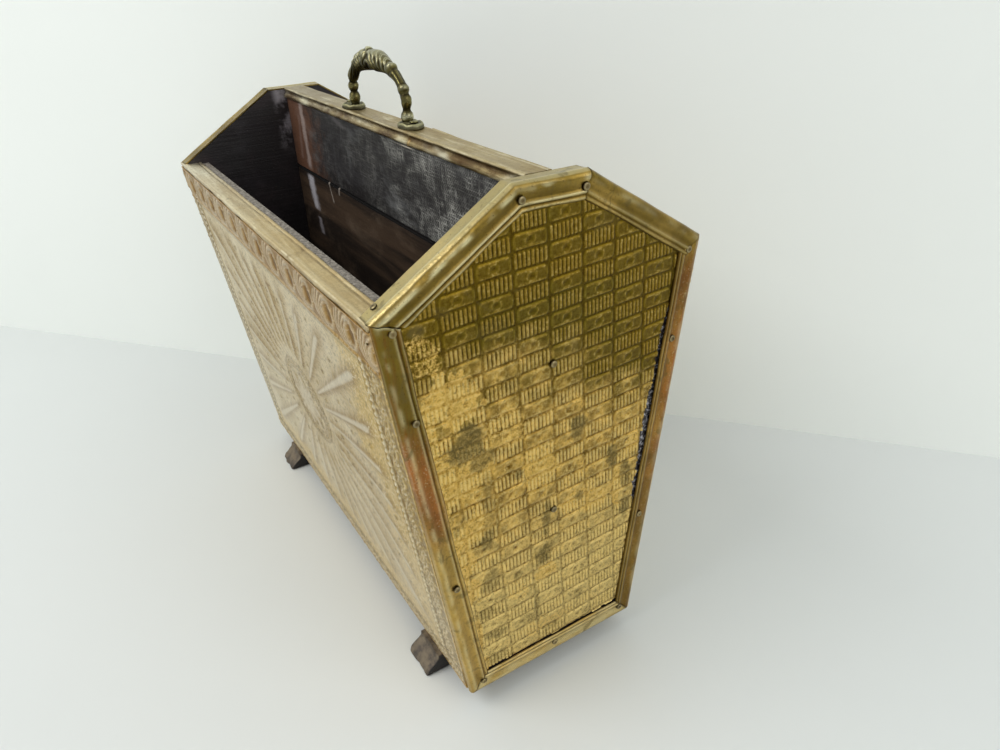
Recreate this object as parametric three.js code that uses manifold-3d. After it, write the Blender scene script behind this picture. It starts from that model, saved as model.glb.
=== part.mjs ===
// Brass-clad magazine rack: a dark-stained wooden box with hexagonal ends, divided down the middle
// by a board that carries a cast handle. Thin embossed brass is nailed over the outside, and moulded
// brass edging is bent round both ends. Millimetres, +Z up, +X along the length, the front at -Y.
// The origin is on the floor, below the middle of the rack.

import * as THREE from 'three';
import { mergeVertices } from 'three/addons/utils/BufferGeometryUtils.js';
import Module from 'manifold-3d';

const wasm = await Module();
wasm.setup();

// ---------- Driving dimensions ----------

const LENGTH = 400; // over the brass faces of the two ends
const BASE_WIDTH = 132.8; // across an end at its foot
const SHOULDER_WIDTH = 206.6; // across an end where it is widest
const APEX_WIDTH = 45.6; // across the flat top of an end
const SHOULDER_RISE = 279.7; // underside of the box up to the widest line
const APEX_RISE = 330.2; // underside of the box up to the flat top of the ends
const FOOT_HEIGHT = 14;

const FIT = 0.3; // clearance between neighbouring pieces

// Boards
const END_BOARD = 11;
const SIDE_BOARD = 19;
const BOTTOM_BOARD = 12;
const DIVIDER_BOARD = 15;
const DIVIDER_JOINT_RISE = 264.5; // underside of the box up to the joint of the two divider planks
const JOINT_CHAMFER = 1;

// Brass sheet and edging
const SHEET = 0.8;
const SHEET_OVERLAP = 12.2; // how far the front and back sheets run out over the end edging
const SHEET_RETURN = 14; // sheet folded under the box
const STRIP = 1;
const FACE_LEG = 14; // width of the edging on the face of an end
const RIM_LEG_SHORT = 0.4; // how far the edging's rim leg stops short of the end board's inner face
const ARRIS = 1.8; // outer bend radius of the edging
const HOLLOW = 0.8; // control height of the shallow hollow in the face leg
const BEAD = 0.9; // radius of the bead along the inner edge
const BEAD_SINK = 0.45; // how far the bead's centre lies below the face
const SEAM = 0.4; // open seam between neighbouring edging strips
const TOP_STRIP_WIDTH = 14.5;
const TOP_STRIP_LIP = 3; // how far the top strip folds down over the front
const TOP_STRIP_HEM = 0.5; // radius of the hem along its inner edge

// Divider cap
const CAP_SIDE = 8; // depth of the cap's sides
const CAP_ARRIS = 1.5;
const CAP_COVE = 0.4;
const CAP_FLARE = 0.8;

// Feet: cross runners
const FOOT_WIDTH = 28;
const FOOT_CENTRE = 146; // from the middle of the rack
const FOOT_TOP_REACH = 4.6; // beyond the foot of the box, at the top of the runner
const FOOT_FLOOR_REACH = 14.6; // beyond the foot of the box, at the floor

// Handle
const HANDLE_CENTRE = -3.5; // the casting is screwed down a little off the middle of the rack
const HANDLE_SPAN = 86; // between the leg centres
const HANDLE_LEG = 13.4; // straight leg, from the middle of its flange up to the spring of the arch
const HANDLE_RISE = 20.8; // from the spring up to the centre line at the crown
const FLANGE_LENGTH = 22;
const FLANGE_WIDTH = 15.6;
const FLANGE_HEIGHT = 3;
const FLANGE_OFFSET = 4; // flange centre outboard of the leg centre
const HANDLE_SCREW_OFFSET = 9; // screw outboard of the leg centre
const LEAF_FOLD = 1; // depth of the folds in the leaf
const LEAF_FOLDS = 5;
const LEAF_TURNS = 3.3; // turns of the folds from one foot of the handle to the other
const LEAF_START = 0.155; // share of the way along the handle where the leaf begins
const LEAF_END = 0.715; // share where its curled end stands
const LEAF_FADE = 0.035;

// Radius of the handle from its left foot to its right one: share of the way along, radius.
// Two turned swellings, the leaf over the crown, a slender neck, a knuckle and a turned foot.
const HANDLE_TURNING = [
  [0, 3.2],
  [0.046, 3.6],
  [0.077, 2.95],
  [0.103, 3.4],
  [0.127, 3],
  [0.168, 4],
  [0.215, 3.85],
  [0.346, 5.85],
  [0.442, 6.7],
  [0.515, 6.25],
  [0.557, 6.4],
  [0.646, 5.1],
  [0.705, 4.95],
  [0.735, 3.9],
  [0.79, 3.2],
  [0.846, 3.95],
  [0.865, 3.5],
  [0.901, 3.67],
  [0.934, 2.85],
  [0.966, 3.77],
  [1, 3.2],
];

// Fasteners
const NAIL_HEAD = 2.2; // radius
const NAIL_DOME = 1.1;
const NAIL_SHANK = 0.7;
const NAIL_LENGTH = 11;
const NAIL_INSET = 7.5; // from the rim of an end
const NEAR_NAIL_INSETS = [8, 9.6, 9.6]; // the same, down the near side
const NAIL_OVER_EDGING = 0.1; // underside of a head over the face of the edging
const NEAR_NAIL_HEIGHTS = [0.35, 0.79, 0.977]; // shares of the shoulder's rise
const FAR_NAIL_HEIGHTS = [0.315, 0.777, 0.975];
const CORNER_NAIL_MARGIN = 3.4; // apex nails, in from the ends of the flat top
const BASE_NAIL_MARGIN = 9; // outer bottom nails, in from the foot corners
const PANEL_NAIL_RISES = [124.6, 227.1];
const SCREW_HEAD = 3.2;
const SCREW_DOME = 1.6;
const SCREW_SHANK = 1.5;
const HANDLE_SCREW_LENGTH = 24;
const FOOT_SCREW_LENGTH = 18;
const FOOT_SCREW_RECESS = 4; // depth of the screw's seat in the underside of a runner
const FOOT_SCREW_SPREAD = 30; // from the middle of the runner

// Facets
const CURVE_STEPS = 3;
const NAIL_SIDES = 8;
const HANDLE_SIDES = 16;
const HANDLE_ROWS = 80;
const FLANGE_SIDES = 24;

// ---------- Places worked out from the driving dimensions ----------

const BOX_Z = FOOT_HEIGHT + FIT; // underside of the box
const SHOULDER_Z = BOX_Z + SHOULDER_RISE;
const APEX_Z = BOX_Z + APEX_RISE;
const JOINT_Z = BOX_Z + DIVIDER_JOINT_RISE;
const END_FACE = LENGTH / 2;
const SHEET_FACE = END_FACE - STRIP - FIT; // outer face of an end sheet
const BOARD_FACE = SHEET_FACE - SHEET - FIT; // outer face of an end board
const BOARD_INNER = BOARD_FACE - END_BOARD;
const HALF_RUN = BOARD_INNER - FIT; // half the length of what lies between the ends
const RIM_LEG = END_FACE - BOARD_INNER - RIM_LEG_SHORT; // width of the edging round the rim
const RIM_INSET = STRIP + FIT; // end board's edge in from the outline
const CAP_TOP = APEX_Z + FIT;
const DIVIDER_TOP = CAP_TOP - STRIP - FIT;
const FLANGE_Z = CAP_TOP + FIT;

const X_AXIS = new THREE.Vector3(1, 0, 0);
const Y_AXIS = new THREE.Vector3(0, 1, 0);
const Z_AXIS = new THREE.Vector3(0, 0, 1);
const LENGTHWAYS = new THREE.Matrix4().makeBasis(Y_AXIS, Z_AXIS, X_AXIS);

// Corners of an end's outline in (y, z), counter-clockwise as seen from +X
const CORNERS = [
  new THREE.Vector2(-BASE_WIDTH / 2, BOX_Z),
  new THREE.Vector2(BASE_WIDTH / 2, BOX_Z),
  new THREE.Vector2(SHOULDER_WIDTH / 2, SHOULDER_Z),
  new THREE.Vector2(APEX_WIDTH / 2, APEX_Z),
  new THREE.Vector2(-APEX_WIDTH / 2, APEX_Z),
  new THREE.Vector2(-SHOULDER_WIDTH / 2, SHOULDER_Z),
];

// ---------- Materials ----------

const MATERIALS = {
  board: new THREE.MeshStandardMaterial({ color: 0x2b211b, roughness: 0.7, metalness: 0 }),
  runner: new THREE.MeshStandardMaterial({ color: 0x3a322c, roughness: 0.8, metalness: 0 }),
  endSheet: new THREE.MeshStandardMaterial({ color: 0xb08f3c, roughness: 0.35, metalness: 1 }),
  sideSheet: new THREE.MeshStandardMaterial({ color: 0xc2ad7d, roughness: 0.4, metalness: 1 }),
  edging: new THREE.MeshStandardMaterial({ color: 0x9c7f36, roughness: 0.35, metalness: 1 }),
  casting: new THREE.MeshStandardMaterial({ color: 0x7d6a36, roughness: 0.4, metalness: 1 }),
  fastener: new THREE.MeshStandardMaterial({ color: 0x8d7a45, roughness: 0.4, metalness: 1 }),
};

// ---------- Solids ----------

// A closed three.js geometry as a solid that can be joined and cut
function solid(geometry) {
  const bare = geometry.clone();
  bare.deleteAttribute('normal');
  bare.deleteAttribute('uv');
  const merged = mergeVertices(bare);
  const kept = [];
  for (let i = 0; i < merged.index.count; i += 3) {
    const [a, b, c] = [0, 1, 2].map((k) => merged.index.getX(i + k));
    if (a !== b && b !== c && c !== a) kept.push(a, b, c);
  }
  return new wasm.Manifold(new wasm.Mesh({
    numProp: 3,
    vertProperties: new Float32Array(merged.attributes.position.array),
    triVerts: new Uint32Array(kept),
  }));
}

// A named mesh of a solid
function piece(name, body, material) {
  const mesh = body.getMesh();
  const indexed = new THREE.BufferGeometry();
  indexed.setAttribute('position', new THREE.BufferAttribute(new Float32Array(mesh.vertProperties), 3));
  indexed.setIndex(new THREE.BufferAttribute(new Uint32Array(mesh.triVerts), 1));
  const geometry = indexed.toNonIndexed();
  geometry.computeVertexNormals();
  const result = new THREE.Mesh(geometry, material);
  result.name = name;
  return result;
}

function cutAll(body, tools) {
  return tools.reduce((left, tool) => left.subtract(tool), body);
}

// A (y, z) section carried along the length from one x to another
function lengthways(section, fromX, toX) {
  const geometry = new THREE.ExtrudeGeometry(section, {
    depth: toX - fromX,
    steps: 1,
    bevelEnabled: false,
    curveSegments: CURVE_STEPS,
  });
  geometry.applyMatrix4(LENGTHWAYS);
  geometry.translate(fromX, 0, 0);
  return solid(geometry);
}

function polygon(points) {
  return new THREE.Shape(points.map(([y, z]) => new THREE.Vector2(y, z)));
}

// A plain round hole or pin along X, between two x, at (y, z)
function roundAlongX(radius, fromX, toX, y, z) {
  const geometry = new THREE.CylinderGeometry(radius, radius, toX - fromX, NAIL_SIDES);
  geometry.rotateZ(-Math.PI / 2);
  geometry.translate((fromX + toX) / 2, y, z);
  return solid(geometry);
}

function roundAlongZ(radius, fromZ, toZ, x, y) {
  const geometry = new THREE.CylinderGeometry(radius, radius, toZ - fromZ, NAIL_SIDES);
  geometry.rotateX(Math.PI / 2);
  geometry.translate(x, y, (fromZ + toZ) / 2);
  return solid(geometry);
}

// A dome-headed pin standing on +Y with the underside of its head at the origin
function domedPin(headRadius, dome, shankRadius, length) {
  const profile = new THREE.Path();
  profile.moveTo(0, -length);
  profile.lineTo(shankRadius, -length + 2 * shankRadius);
  profile.lineTo(shankRadius, 0);
  profile.lineTo(headRadius, 0);
  profile.quadraticCurveTo(headRadius, dome, 0, dome);
  return new THREE.LatheGeometry(profile.getPoints(CURVE_STEPS), NAIL_SIDES);
}

// ---------- The outline of the ends ----------

function edgeDirection(index) {
  const next = CORNERS[(index + 1) % CORNERS.length];
  return next.clone().sub(CORNERS[index]).normalize();
}

function inwardNormal(index) {
  const along = edgeDirection(index);
  return new THREE.Vector2(-along.y, along.x);
}

// Where the corner lies when the outline is drawn in by an inset
function insetCorner(index, inset) {
  const before = inwardNormal((index + CORNERS.length - 1) % CORNERS.length);
  const after = inwardNormal(index);
  const share = inset / (1 + before.dot(after));
  return CORNERS[index].clone().addScaledVector(before, share).addScaledVector(after, share);
}

function insetOutline(inset) {
  return new THREE.Shape(CORNERS.map((corner, index) => insetCorner(index, inset)));
}

// ---------- Ends ----------

// Section of the edging: x is the inset from the rim, y the height over the face of the end.
// A rounded arris, a shallow hollow and a bead on the face, and a plain leg round the rim.
function edgingSection() {
  const section = new THREE.Shape();
  section.moveTo(0, -RIM_LEG);
  section.lineTo(STRIP, -RIM_LEG);
  section.lineTo(STRIP, -ARRIS);
  section.absarc(ARRIS, -ARRIS, ARRIS - STRIP, Math.PI, Math.PI / 2, true);
  section.lineTo(FACE_LEG, -STRIP);
  section.absarc(FACE_LEG - BEAD, -BEAD_SINK, BEAD, 0, Math.PI, false);
  section.quadraticCurveTo((ARRIS + FACE_LEG - 2 * BEAD) / 2, -HOLLOW, ARRIS, 0);
  section.absarc(ARRIS, -ARRIS, ARRIS, Math.PI / 2, Math.PI, false);
  section.closePath();
  return section;
}

// One strip of edging from corner to corner of the outline. Every point keeps its inset from the
// rim, so the ends and the bends between them lie on the mitre planes of the corners.
function edgingStrip(firstCorner, edges) {
  const geometry = new THREE.ExtrudeGeometry(edgingSection(), {
    depth: edges,
    steps: edges,
    bevelEnabled: false,
    curveSegments: CURVE_STEPS,
  });
  const position = geometry.attributes.position;
  for (let i = 0; i < position.count; i += 1) {
    const passed = Math.round(position.getZ(i));
    const corner = (firstCorner + passed) % CORNERS.length;
    const place = insetCorner(corner, position.getX(i));
    if (passed === 0) place.addScaledVector(edgeDirection(corner), SEAM / 2);
    if (passed === edges) {
      place.addScaledVector(edgeDirection((corner + CORNERS.length - 1) % CORNERS.length), -SEAM / 2);
    }
    position.setXYZ(i, END_FACE + position.getY(i), place.x, place.y);
  }
  return solid(geometry);
}

// Places of an end's nails: name, y, z and the x under the head
function nailPlaces() {
  const overEdging = END_FACE + NAIL_OVER_EDGING;
  const overSheet = SHEET_FACE + FIT;
  const places = [];
  const alongSide = (side, sign, share, inset, number) => {
    const z = BOX_Z + share * SHOULDER_RISE;
    const rimY = THREE.MathUtils.lerp(BASE_WIDTH, SHOULDER_WIDTH, share) / 2;
    places.push({ name: `${side}_side_nail_${number}`, y: sign * (rimY - inset), z, x: overEdging });
  };
  NEAR_NAIL_HEIGHTS.forEach((share, index) => {
    alongSide('near', -1, share, NEAR_NAIL_INSETS[index], index + 1);
    alongSide('far', 1, FAR_NAIL_HEIGHTS[index], NAIL_INSET, index + 1);
  });
  const apexY = APEX_WIDTH / 2 - CORNER_NAIL_MARGIN;
  places.push({ name: 'near_apex_nail', y: -apexY, z: APEX_Z - NAIL_INSET, x: overEdging });
  places.push({ name: 'far_apex_nail', y: apexY, z: APEX_Z - NAIL_INSET, x: overEdging });
  const baseY = BASE_WIDTH / 2 - BASE_NAIL_MARGIN;
  places.push({ name: 'near_base_nail', y: -baseY, z: BOX_Z + NAIL_INSET, x: overEdging });
  places.push({ name: 'middle_base_nail', y: 0, z: BOX_Z + NAIL_INSET, x: overEdging });
  places.push({ name: 'far_base_nail', y: baseY, z: BOX_Z + NAIL_INSET, x: overEdging });
  PANEL_NAIL_RISES.forEach((rise, index) => {
    places.push({ name: `panel_nail_${index + 1}`, y: 0, z: BOX_Z + rise, x: overSheet });
  });
  return places;
}

function nail(place) {
  const geometry = domedPin(NAIL_HEAD, NAIL_DOME, NAIL_SHANK, NAIL_LENGTH);
  geometry.rotateZ(-Math.PI / 2);
  geometry.translate(place.x, place.y, place.z);
  return solid(geometry);
}

// One end, built at +X. `near` and `far` are the sides its -Y and +Y edges have on the rack.
function buildEnd(end, near, far) {
  const group = new THREE.Group();
  const places = nailPlaces();
  const holes = places.map((place) => (
    roundAlongX(NAIL_SHANK + FIT, place.x - NAIL_LENGTH - FIT, END_FACE + STRIP, place.y, place.z)
  ));
  const sideNames = (name) => name.replace('near', near).replace('far', far);
  const add = (name, body, material) => group.add(piece(`${end}_${sideNames(name)}`, body, material));

  const board = lengthways(insetOutline(RIM_INSET), BOARD_INNER, BOARD_FACE);
  add('end_board', cutAll(board, holes), MATERIALS.board);
  const sheet = lengthways(insetOutline(ARRIS + FIT), SHEET_FACE - SHEET, SHEET_FACE);
  add('end_sheet', cutAll(sheet, holes), MATERIALS.endSheet);

  const strips = [
    ['base_edging', 0, 1],
    ['far_side_edging', 1, 1],
    ['far_slope_edging', 2, 1],
    ['near_slope_edging', 3, 2],
    ['near_side_edging', 5, 1],
  ];
  strips.forEach(([name, firstCorner, edges]) => {
    add(name, cutAll(edgingStrip(firstCorner, edges), holes), MATERIALS.edging);
  });
  places.forEach((place) => add(place.name, nail(place), MATERIALS.fastener));
  return group;
}

// ---------- Front and back ----------

const SIDE_ALONG = new THREE.Vector2((SHOULDER_WIDTH - BASE_WIDTH) / 2, -SHOULDER_RISE).normalize();
const SIDE_SLOPE = (SHOULDER_WIDTH - BASE_WIDTH) / 2 / SHOULDER_RISE; // outward lean per unit of rise

// y of a plane parallel to the front face and `proud` of the outline's side, at a height z
function frontY(z, proud) {
  const lean = BASE_WIDTH / 2 + SIDE_SLOPE * (z - BOX_Z);
  return -(lean + proud / Math.abs(SIDE_ALONG.y));
}

// A layer of the front between two planes parallel to its face and two heights
function frontLayer(proudInner, proudOuter, fromZ, toZ, halfLength) {
  const section = polygon([
    [frontY(fromZ, proudOuter), fromZ],
    [frontY(fromZ, proudInner), fromZ],
    [frontY(toZ, proudInner), toZ],
    [frontY(toZ, proudOuter), toZ],
  ]);
  return lengthways(section, -halfLength, halfLength);
}

function frontBoard() {
  return frontLayer(-SIDE_BOARD, 0, BOX_Z + SHEET + FIT, SHOULDER_Z - STRIP - FIT, HALF_RUN);
}

// The embossed sheet: the face runs out over the end edging, and a narrower return folds under
function frontSheet() {
  const top = SHOULDER_Z - TOP_STRIP_LIP - FIT;
  const face = frontLayer(FIT, FIT + SHEET, BOX_Z, top, HALF_RUN + SHEET_OVERLAP);
  const fold = polygon([
    [frontY(BOX_Z, FIT + SHEET / 2), BOX_Z],
    [SHEET_RETURN - BASE_WIDTH / 2, BOX_Z],
    [SHEET_RETURN - BASE_WIDTH / 2, BOX_Z + SHEET],
    [frontY(BOX_Z + SHEET, FIT + SHEET / 2), BOX_Z + SHEET],
  ]);
  return face.add(lengthways(fold, -HALF_RUN, HALF_RUN));
}

// The strip along the top edge: a flat with a hem on its inner edge, and a lip over the front
function frontTopStrip() {
  const outer = frontY(SHOULDER_Z, FIT + SHEET);
  const inner = outer + TOP_STRIP_WIDTH;
  const under = SHOULDER_Z - STRIP;
  const flat = new THREE.Shape();
  flat.moveTo(frontY(under, FIT), under);
  flat.lineTo(inner, under);
  flat.absarc(inner - TOP_STRIP_HEM, SHOULDER_Z, TOP_STRIP_HEM, 0, Math.PI, false);
  flat.lineTo(outer + STRIP, SHOULDER_Z);
  flat.lineTo(frontY(SHOULDER_Z - STRIP, FIT + SHEET), SHOULDER_Z - STRIP);
  flat.closePath();
  const lip = frontLayer(FIT, FIT + SHEET, SHOULDER_Z - TOP_STRIP_LIP, SHOULDER_Z - STRIP / 2,
    HALF_RUN + SHEET_OVERLAP);
  return lengthways(flat, -HALF_RUN, HALF_RUN).add(lip);
}

function buildFaces() {
  const group = new THREE.Group();
  [['front', 0], ['back', Math.PI]].forEach(([side, turn]) => {
    const half = new THREE.Group();
    half.rotation.z = turn;
    half.add(piece(`${side}_board`, frontBoard(), MATERIALS.board));
    half.add(piece(`${side}_sheet`, frontSheet(), MATERIALS.sideSheet));
    half.add(piece(`${side}_top_strip`, frontTopStrip(), MATERIALS.edging));
    group.add(half);
  });
  return group;
}

// ---------- Bottom, divider and cap ----------

function footScrewPlaces() {
  const places = [];
  [['left', -1], ['right', 1]].forEach(([end, signX]) => {
    [['front', -1], ['back', 1]].forEach(([side, signY]) => {
      places.push({ name: `${end}_${side}_foot_screw`, x: signX * FOOT_CENTRE, y: signY * FOOT_SCREW_SPREAD });
    });
  });
  return places;
}

function bottomBoard() {
  const top = BOX_Z + BOTTOM_BOARD;
  const clear = -SIDE_BOARD - FIT;
  const section = polygon([
    [frontY(BOX_Z, clear), BOX_Z],
    [-frontY(BOX_Z, clear), BOX_Z],
    [-frontY(top, clear), top],
    [frontY(top, clear), top],
  ]);
  const holes = footScrewPlaces().map(({ x, y }) => (
    roundAlongZ(SCREW_SHANK + FIT, 0, FOOT_SCREW_RECESS + FOOT_SCREW_LENGTH + FIT, x, y)
  ));
  return cutAll(lengthways(section, -HALF_RUN, HALF_RUN), holes);
}

// A divider plank, with its edge at the joint chamfered
function dividerPlank(jointZ, farZ) {
  const half = DIVIDER_BOARD / 2;
  const inward = Math.sign(farZ - jointZ) * JOINT_CHAMFER;
  const section = polygon([
    [-half + JOINT_CHAMFER, jointZ],
    [half - JOINT_CHAMFER, jointZ],
    [half, jointZ + inward],
    [half, farZ],
    [-half, farZ],
    [-half, jointZ + inward],
  ]);
  return lengthways(section, -HALF_RUN, HALF_RUN);
}

// Pressed brass cap: flat top, rounded arrises, and sides with a cove above a flared lower edge
function dividerCap() {
  const inner = DIVIDER_BOARD / 2 + FIT;
  const outer = inner + STRIP;
  const low = CAP_TOP - CAP_SIDE;
  const coveTop = CAP_TOP - CAP_SIDE / 2;
  const section = new THREE.Shape();
  section.moveTo(-inner, low);
  section.lineTo(-inner, CAP_TOP - STRIP);
  section.lineTo(inner, CAP_TOP - STRIP);
  section.lineTo(inner, low);
  section.lineTo(outer + CAP_FLARE, low);
  section.quadraticCurveTo(outer - 2 * CAP_COVE, (low + coveTop) / 2, outer, coveTop);
  section.lineTo(outer, CAP_TOP - CAP_ARRIS);
  section.absarc(outer - CAP_ARRIS, CAP_TOP - CAP_ARRIS, CAP_ARRIS, 0, Math.PI / 2, false);
  section.absarc(CAP_ARRIS - outer, CAP_TOP - CAP_ARRIS, CAP_ARRIS, Math.PI / 2, Math.PI, false);
  section.lineTo(-outer, coveTop);
  section.quadraticCurveTo(2 * CAP_COVE - outer, (low + coveTop) / 2, -outer - CAP_FLARE, low);
  section.closePath();
  return lengthways(section, -HALF_RUN, HALF_RUN);
}

function handleScrewPlaces() {
  const reach = HANDLE_SPAN / 2 + HANDLE_SCREW_OFFSET;
  return [
    { name: 'left_handle_screw', x: HANDLE_CENTRE - reach },
    { name: 'right_handle_screw', x: HANDLE_CENTRE + reach },
  ];
}

function handleScrewHole(place) {
  const seat = FLANGE_Z + FLANGE_HEIGHT;
  return roundAlongZ(SCREW_SHANK + FIT, seat - HANDLE_SCREW_LENGTH, seat + FIT, place.x, 0);
}

function buildMiddle() {
  const group = new THREE.Group();
  const holes = handleScrewPlaces().map(handleScrewHole);
  const upper = dividerPlank(JOINT_Z + FIT / 2, DIVIDER_TOP);
  const lower = dividerPlank(JOINT_Z - FIT / 2, BOX_Z + BOTTOM_BOARD + FIT);
  group.add(piece('bottom_board', bottomBoard(), MATERIALS.board));
  group.add(piece('divider_lower_plank', lower, MATERIALS.board));
  group.add(piece('divider_upper_plank', cutAll(upper, holes), MATERIALS.board));
  group.add(piece('divider_cap', cutAll(dividerCap(), holes), MATERIALS.edging));
  return group;
}

// ---------- Feet ----------

// A cross runner: flat below and above, its ends sweeping out and down to the floor
function runner() {
  const top = BASE_WIDTH / 2 + FOOT_TOP_REACH;
  const floor = BASE_WIDTH / 2 + FOOT_FLOOR_REACH;
  const section = new THREE.Shape();
  section.moveTo(-floor, 0);
  section.lineTo(floor, 0);
  section.bezierCurveTo(floor, FOOT_HEIGHT / 2, top, FOOT_HEIGHT / 2, top, FOOT_HEIGHT);
  section.lineTo(-top, FOOT_HEIGHT);
  section.bezierCurveTo(-top, FOOT_HEIGHT / 2, -floor, FOOT_HEIGHT / 2, -floor, 0);
  return section;
}

function buildFeet() {
  const group = new THREE.Group();
  const screws = footScrewPlaces();
  const bores = screws.map(({ x, y }) => roundAlongZ(SCREW_SHANK + FIT, 0, FOOT_HEIGHT + FIT, x, y));
  const seats = screws.map(({ x, y }) => roundAlongZ(SCREW_HEAD + FIT, -FIT, FOOT_SCREW_RECESS, x, y));
  [['left', -1], ['right', 1]].forEach(([end, sign]) => {
    const centre = sign * FOOT_CENTRE;
    const body = lengthways(runner(), centre - FOOT_WIDTH / 2, centre + FOOT_WIDTH / 2);
    group.add(piece(`${end}_foot`, cutAll(body, [...bores, ...seats]), MATERIALS.runner));
  });
  screws.forEach(({ name, x, y }) => {
    const geometry = domedPin(SCREW_HEAD, SCREW_DOME, SCREW_SHANK, FOOT_SCREW_LENGTH);
    geometry.rotateX(-Math.PI / 2);
    geometry.translate(x, y, FOOT_SCREW_RECESS - FIT);
    group.add(piece(name, solid(geometry), MATERIALS.fastener));
  });
  return group;
}

// ---------- Handle ----------

// Centre line of the handle in (x, z): a half ellipse standing on two short straight legs
function handleLine() {
  const half = HANDLE_SPAN / 2;
  const foot = FLANGE_Z + FLANGE_HEIGHT / 2;
  const spring = foot + HANDLE_LEG;
  const line = new THREE.Path();
  line.moveTo(HANDLE_CENTRE - half, foot);
  line.lineTo(HANDLE_CENTRE - half, spring);
  line.absellipse(HANDLE_CENTRE, spring, half, HANDLE_RISE, Math.PI, 0, true);
  line.lineTo(HANDLE_CENTRE + half, foot);
  return line;
}

// Turned radius at a share of the way along, eased from each listed radius to the next
function turnedRadius(share) {
  const found = HANDLE_TURNING.findIndex(([place]) => place >= share);
  const next = Math.max(found, 1);
  const [fromShare, fromRadius] = HANDLE_TURNING[next - 1];
  const [toShare, toRadius] = HANDLE_TURNING[next];
  return THREE.MathUtils.lerp(fromRadius, toRadius, THREE.MathUtils.smoothstep(share, fromShare, toShare));
}

// Radius of the casting at a share of the way along and an angle round it: inside the leaf,
// folds that wind round the bar are cut into the turned shape
function handleRadius(share, angle) {
  const begun = THREE.MathUtils.smoothstep(share, LEAF_START - LEAF_FADE, LEAF_START + LEAF_FADE);
  const ended = THREE.MathUtils.smoothstep(share, LEAF_END - LEAF_FADE, LEAF_END);
  const folds = Math.cos(LEAF_FOLDS * angle + 2 * Math.PI * LEAF_TURNS * share);
  return turnedRadius(share) - LEAF_FOLD * begun * (1 - ended) * (1 - folds) / 2;
}

// The cast arch: a turned bar bent round the centre line, with the leaf laid over its crown
function handleArch() {
  const line = handleLine();
  const rows = [new THREE.Vector2(0, 0)];
  for (let row = 0; row <= HANDLE_ROWS; row += 1) {
    rows.push(new THREE.Vector2(1, row / HANDLE_ROWS));
  }
  rows.push(new THREE.Vector2(0, 1));
  const geometry = new THREE.LatheGeometry(rows, HANDLE_SIDES);
  const position = geometry.attributes.position;
  for (let i = 0; i < position.count; i += 1) {
    const share = position.getY(i);
    const centre = line.getPoint(share);
    const tangent = line.getTangent(share);
    const angle = Math.atan2(position.getZ(i), position.getX(i));
    const radius = Math.hypot(position.getX(i), position.getZ(i)) * handleRadius(share, angle);
    const outward = radius * Math.cos(angle);
    position.setXYZ(
      i,
      centre.x - tangent.y * outward,
      radius * Math.sin(angle),
      centre.y + tangent.x * outward,
    );
  }
  return solid(geometry);
}

// An oval flange with a softened upper edge, reaching outboard of its leg for the screw
function handleFlange(sign) {
  const half = FLANGE_LENGTH / 2;
  const profile = new THREE.Path();
  profile.moveTo(0, 0);
  profile.lineTo(half, 0);
  profile.lineTo(half, FLANGE_HEIGHT / 2);
  profile.quadraticCurveTo(half, FLANGE_HEIGHT, half - FLANGE_HEIGHT / 2, FLANGE_HEIGHT);
  profile.lineTo(0, FLANGE_HEIGHT);
  const geometry = new THREE.LatheGeometry(profile.getPoints(CURVE_STEPS), FLANGE_SIDES);
  geometry.rotateX(Math.PI / 2);
  geometry.scale(1, FLANGE_WIDTH / FLANGE_LENGTH, 1);
  geometry.translate(HANDLE_CENTRE + sign * (HANDLE_SPAN / 2 + FLANGE_OFFSET), 0, FLANGE_Z);
  return solid(geometry);
}

function buildHandle() {
  const group = new THREE.Group();
  const places = handleScrewPlaces();
  const casting = handleArch().add(handleFlange(-1)).add(handleFlange(1));
  group.add(piece('handle', cutAll(casting, places.map(handleScrewHole)), MATERIALS.casting));
  places.forEach(({ name, x }) => {
    const geometry = domedPin(SCREW_HEAD, SCREW_DOME, SCREW_SHANK, HANDLE_SCREW_LENGTH - 2 * FIT);
    geometry.rotateX(Math.PI / 2);
    geometry.translate(x, 0, FLANGE_Z + FLANGE_HEIGHT + FIT);
    group.add(piece(name, solid(geometry), MATERIALS.fastener));
  });
  return group;
}

// ---------- Assembly ----------

const rack = new THREE.Group();
rack.add(buildEnd('right', 'front', 'back'));
const leftEnd = buildEnd('left', 'back', 'front');
leftEnd.rotation.z = Math.PI;
rack.add(leftEnd);
rack.add(buildFaces());
rack.add(buildMiddle());
rack.add(buildFeet());
rack.add(buildHandle());

export default rack;
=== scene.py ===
import math

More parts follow.
